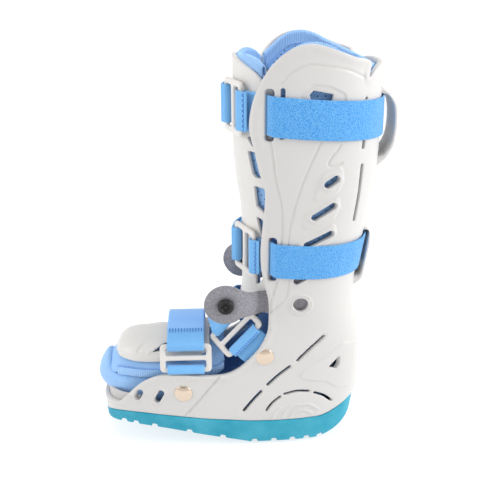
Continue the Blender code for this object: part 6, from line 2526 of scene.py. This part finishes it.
@dataclass
class AirCell:
    """Grey air cell inside the ankle, with its neck, tab and push valve."""

    label: str
    side: float
    disc: Point2
    tab_y: list[Point2]
    vinyl: Finish = CELL_VINYL
    nylon: Finish = VALVE_NYLON

    def outline(self) -> np.ndarray:
        """Side view of the tab, the neck and the cell."""
        cx, cz = self.disc
        reach = math.sqrt(DISC_R**2 - NECK_HALF**2)
        upper = []
        for a in np.linspace(math.pi, math.atan2(NECK_HALF, reach) + 0.2, 22):
            upper.append((cx + DISC_R * math.cos(a), cz + DISC_R * math.sin(a)))
        lower = [(x, 2.0 * cz - z) for x, z in upper[1:]]
        mid = 0.5 * (cx + reach + 14.5)
        upper.append((mid, 0.5 * (cz + CELL_ROWS[0][1]) + NECK_HALF - 0.2))
        lower.append((mid, 0.5 * (cz + CELL_ROWS[0][1]) - NECK_HALF + 0.2))
        upper += [(x, z + tall) for x, z, tall in CELL_ROWS[1:]]
        lower += [(x, z - tall) for x, z, tall in CELL_ROWS[1:]]
        return even(spline(upper + [(67.6, 142.0)] + lower[::-1], 0.5, True), 0.8, True)

    def build(self) -> None:
        """Make the cell and its valve."""
        cx, cz = self.disc
        turns = np.linspace(0.0, 2.0 * math.pi, 26, endpoint=False)
        hole = np.stack([cx + 2.6 * np.cos(turns), cz + 2.6 * np.sin(turns)], -1)
        plate = CellPlate("cell_" + self.label, 0.0, CELL + 0.9, [], coarse=1.5, fine=1.5, lip=0.4,
                          mirrored=False, side=self.side, tab_y=self.tab_y)
        finish_piece(plate.plate(self.outline(), [hole]), self.vinyl, "air_cell_" + self.label)
        y = float(Table(self.tab_y).at(np.array(cx))[0])
        face = y + 0.5 * CELL + 0.9 + 0.35
        back = y - 0.5 * CELL - 0.9 - 0.35
        profile = [(0.0, 1.5), (1.1, 1.5), (1.3, 1.9), (1.7, 2.0), (2.0, 1.7), (2.2, 1.2), (3.2, 1.2),
                   (3.5, 2.6),
                   (3.8, 3.1), (4.3, 3.2), (4.5, 2.9), (4.8, 2.9), (5.0, 3.2), (5.6, 3.15), (6.1, 2.9),
                   (VALVE_R - 0.15, 2.4), (VALVE_R, 1.8), (VALVE_R, 0.3), (VALVE_R - 0.3, 0.0), (2.2, 0.0),
                   (2.2, back - face), (4.6, back - face), (4.6, back - face - 1.0), (0.0, back - face - 1.0)]
        obj = lathe("valve_cap_" + self.label, profile, (cx, self.side * face, cz), (0.0, self.side, 0.0))
        finish_piece(obj, self.nylon, "valve_" + self.label)


@dataclass
class Outsole:
    """Teal rocker sole with cross grooves and small tread bars."""

    finish: Finish = SOLE_RUBBER
    tread: float = 0.6

    def section(self, x: float) -> np.ndarray:
        """Half section from the underside's middle out and up to the top's middle."""
        low, high = SOLE.at(np.array(x))
        if SOLE_FLAT[0] <= x <= SOLE_FLAT[1]:
            low = 0.0
        low += self.tread
        half = max(float(ENVELOPE.halves(np.array(23.0), np.array(x))) + SOLE_FLARE, 6.0)
        cut = 0.0
        for g in GROOVES:
            d = abs(x - g) / (0.5 * GROOVE_WIDE)
            cut = max(cut, GROOVE_DEEP * float(smoothstep((1.25 - d) / 0.55)))
        cut = min(cut, 0.5 * (high - low))
        foot = half * 0.93
        start = max(foot - GROOVE_LONG, 0.35 * foot)
        tall = high - low
        r = min(3.2, 0.4 * tall)
        out = [(y, low) for y in np.linspace(0.0, start, 6)]
        out += [(start + 0.6 * t, low + cut * float(smoothstep(t))) for t in (0.33, 0.66, 1.0)]
        out += [(y, low + cut) for y in np.linspace(start + 1.4, foot - r, 6)]
        for k in range(1, 7):
            a = 0.5 * math.pi * k / 6
            out.append((foot - r + (r + 0.5 * (half - foot)) * math.sin(a),
                        low + cut + (r - 0.4 * cut) * (1.0 - math.cos(a))))
        y0, z0 = out[-1]
        for t in np.linspace(0.0, 1.0, 7)[1:-1]:
            out.append((y0 + (half - y0) * t, z0 + (high - 0.7 - z0) * t))
        out += [(half, high - 0.7), (half - 0.15, high - 0.25), (half - 0.7, high), (half * 0.6, high),
                (0.0, high)]
        return np.array(out)

    def build(self, stamp: Stamp) -> None:
        """Make the sole and its tread."""
        xs = set(np.round(np.linspace(-132.6, 93.0, 150), 3))
        for g in GROOVES:
            xs.update(np.round(g + GROOVE_WIDE * np.linspace(-0.75, 0.75, 13), 3))
        rings = []
        ends = [(-133.0, 0.86), (-132.85, 0.95)]
        for x, share in ends + [(x, 1.0) for x in sorted(xs)] + [(93.3, 0.95), (93.5, 0.86)]:
            half = self.section(float(np.clip(x, -132.6, 93.0)))
            middle = 0.5 * (half[:, 1].min() + half[:, 1].max())
            y = half[:, 0] * (0.5 + 0.5 * share)
            z = middle + (half[:, 1] - middle) * share
            right = np.stack([np.full(len(y), x), y, z], -1)
            left = right[1:-1][::-1] * np.array([1.0, -1.0, 1.0])
            rings.append(np.concatenate([right, left]))
        finish_piece(loft("sole_moulding", rings), self.finish, "outsole")
        spots = []
        runs = []
        ups = []
        row = 0
        for x in np.arange(-124.0, 84.0, 5.2):
            if min(abs(x - g) for g in GROOVES) < 0.5 * GROOVE_WIDE + 1.4:
                continue
            row += 1
            half = self.section(x)
            reach = half[:, 0].max() * 0.93 - GROOVE_LONG + 9.0
            low = float(half[0, 1])
            slope = float(SOLE.at(np.array(x + 1.0))[0] - SOLE.at(np.array(x - 1.0))[0]) / 2.0
            for y in np.arange(-reach + 4.5 * (row % 2), reach, 9.0):
                spots.append((x, y, low + 0.05))
                runs.append((0.0, 1.0, 0.0))
                ups.append((slope, 0.0, -1.0))
        bars = stamp.put("sole_tread", np.array(spots), np.array(runs), np.array(ups),
                         pill(7.0, 2.6, 1.2, 10, 7),
                         self.finish, spread=0.0)
        finish_piece(bars, self.finish, "outsole")


@dataclass
class Studio:
    """Pale floor, soft lights and the camera of the photograph."""

    position: tuple[float, float, float] = (-0.013, -0.55, 0.41)
    azimuth: float = -2.5
    pitch: float = 23.2
    lens: float = 49.82
    ambient: float = 0.86
    floor_glow: float = 0.72

    def lamp(self, name: str, place: Sequence[float], size: float, power: float) -> None:
        """Set a soft square lamp that looks at the boot.

        Args:
            name: Name of the lamp.
            place: Its place, m.
            size: Its side, m.
            power: Its power, W.
        """
        data = bpy.data.lights.new(name, "AREA")
        data.shape = "SQUARE"
        data.size = size
        data.energy = power
        obj = bpy.data.objects.new(name, data)
        obj.location = place
        obj.rotation_euler = (Vector((0.0, 0.0, 0.15)) - Vector(place)).to_track_quat("-Z", "Y").to_euler()
        bpy.context.scene.collection.objects.link(obj)

    def sheet(self, name: str, corners: Sequence[Sequence[float]],
              material: bpy.types.Material) -> bpy.types.Object:
        """Make a flat stage piece.

        Args:
            name: Name of the piece.
            corners: Its four corners, two on each side.
            material: Its material.

        Returns:
            The object.
        """
        mesh = bpy.data.meshes.new(name)
        mesh.from_pydata(corners, [], [(0, 2, 3, 1)])
        mesh.materials.append(material)
        obj = bpy.data.objects.new(name, mesh)
        bpy.context.scene.collection.objects.link(obj)
        return obj

    def build(self) -> None:
        """Set the stage."""
        scene = bpy.context.scene
        world = bpy.data.worlds.new("studio")
        world.use_nodes = True
        back = world.node_tree.nodes["Background"]
        back.inputs["Color"].default_value = (1.0, 1.0, 1.0, 1.0)
        ray = add(world.node_tree, "ShaderNodeLightPath", {})
        glow = add(world.node_tree, "ShaderNodeMapRange", {"To Min": self.ambient, "To Max": 1.0},
                   {"Value": ray.outputs["Is Camera Ray"]})
        world.node_tree.links.new(glow.outputs["Result"], back.inputs["Strength"])
        scene.world = world
        scene.view_settings.view_transform = "Standard"
        self.lamp("key", (1.25, -0.35, 0.75), 0.6, 12.0)
        self.lamp("side", (-1.3, -0.4, 0.8), 0.7, 6.5)
        self.lamp("top", (-0.1, -0.2, 1.5), 0.8, 2.5)
        floor = bpy.data.materials.new("studio floor")
        floor.use_nodes = True
        shader = floor.node_tree.nodes["Principled BSDF"]
        shader.inputs["Base Color"].default_value = linear("A0A0A0")
        shader.inputs["Roughness"].default_value = 0.9
        shader.inputs["Emission Color"].default_value = (1.0, 1.0, 1.0, 1.0)
        shader.inputs["Emission Strength"].default_value = self.floor_glow
        card = bpy.data.materials.new("studio card, dark")
        card.use_nodes = True
        card.node_tree.nodes["Principled BSDF"].inputs["Base Color"].default_value = linear("101010")
        self.sheet("floor", [(x, y, -0.001) for x in (-25.0, 25.0) for y in (-25.0, 25.0)], floor)
        self.sheet("card", [(x, -1.5, z) for x in (-0.9, 0.9) for z in (0.55, 1.25)],
                   card).visible_camera = False
        data = bpy.data.cameras.new("camera")
        data.lens = self.lens
        data.sensor_width = 36.0
        data.clip_start = 0.01
        camera = bpy.data.objects.new("camera", data)
        camera.location = self.position
        camera.rotation_euler = (math.radians(90.0 - self.pitch), 0.0, math.radians(self.azimuth))
        scene.collection.objects.link(camera)
        scene.camera = camera


def main() -> None:
    """Build the boot piece by piece and set the stage."""
    logging.basicConfig(level=logging.INFO, format="%(name)s %(message)s")
    stamp = Stamp()
    Shell().build()
    ShinPanel().build()
    ToePanel().build()
    for row in LEG_STRAPS:
        LegStrap(*row).build(stamp)
    ToeStrap().build(stamp)
    AnkleStrap().build(stamp)
    Rivets().build()
    AirCell("near", -1.0, *NEAR_TAB).build()
    AirCell("far", 1.0, *FAR_TAB).build()
    Outsole().build(stamp)
    Liners().build(stamp)
    Studio().build()
    bpy.data.node_groups.remove(stamp.tree)


if __name__ == "__main__":
    main()
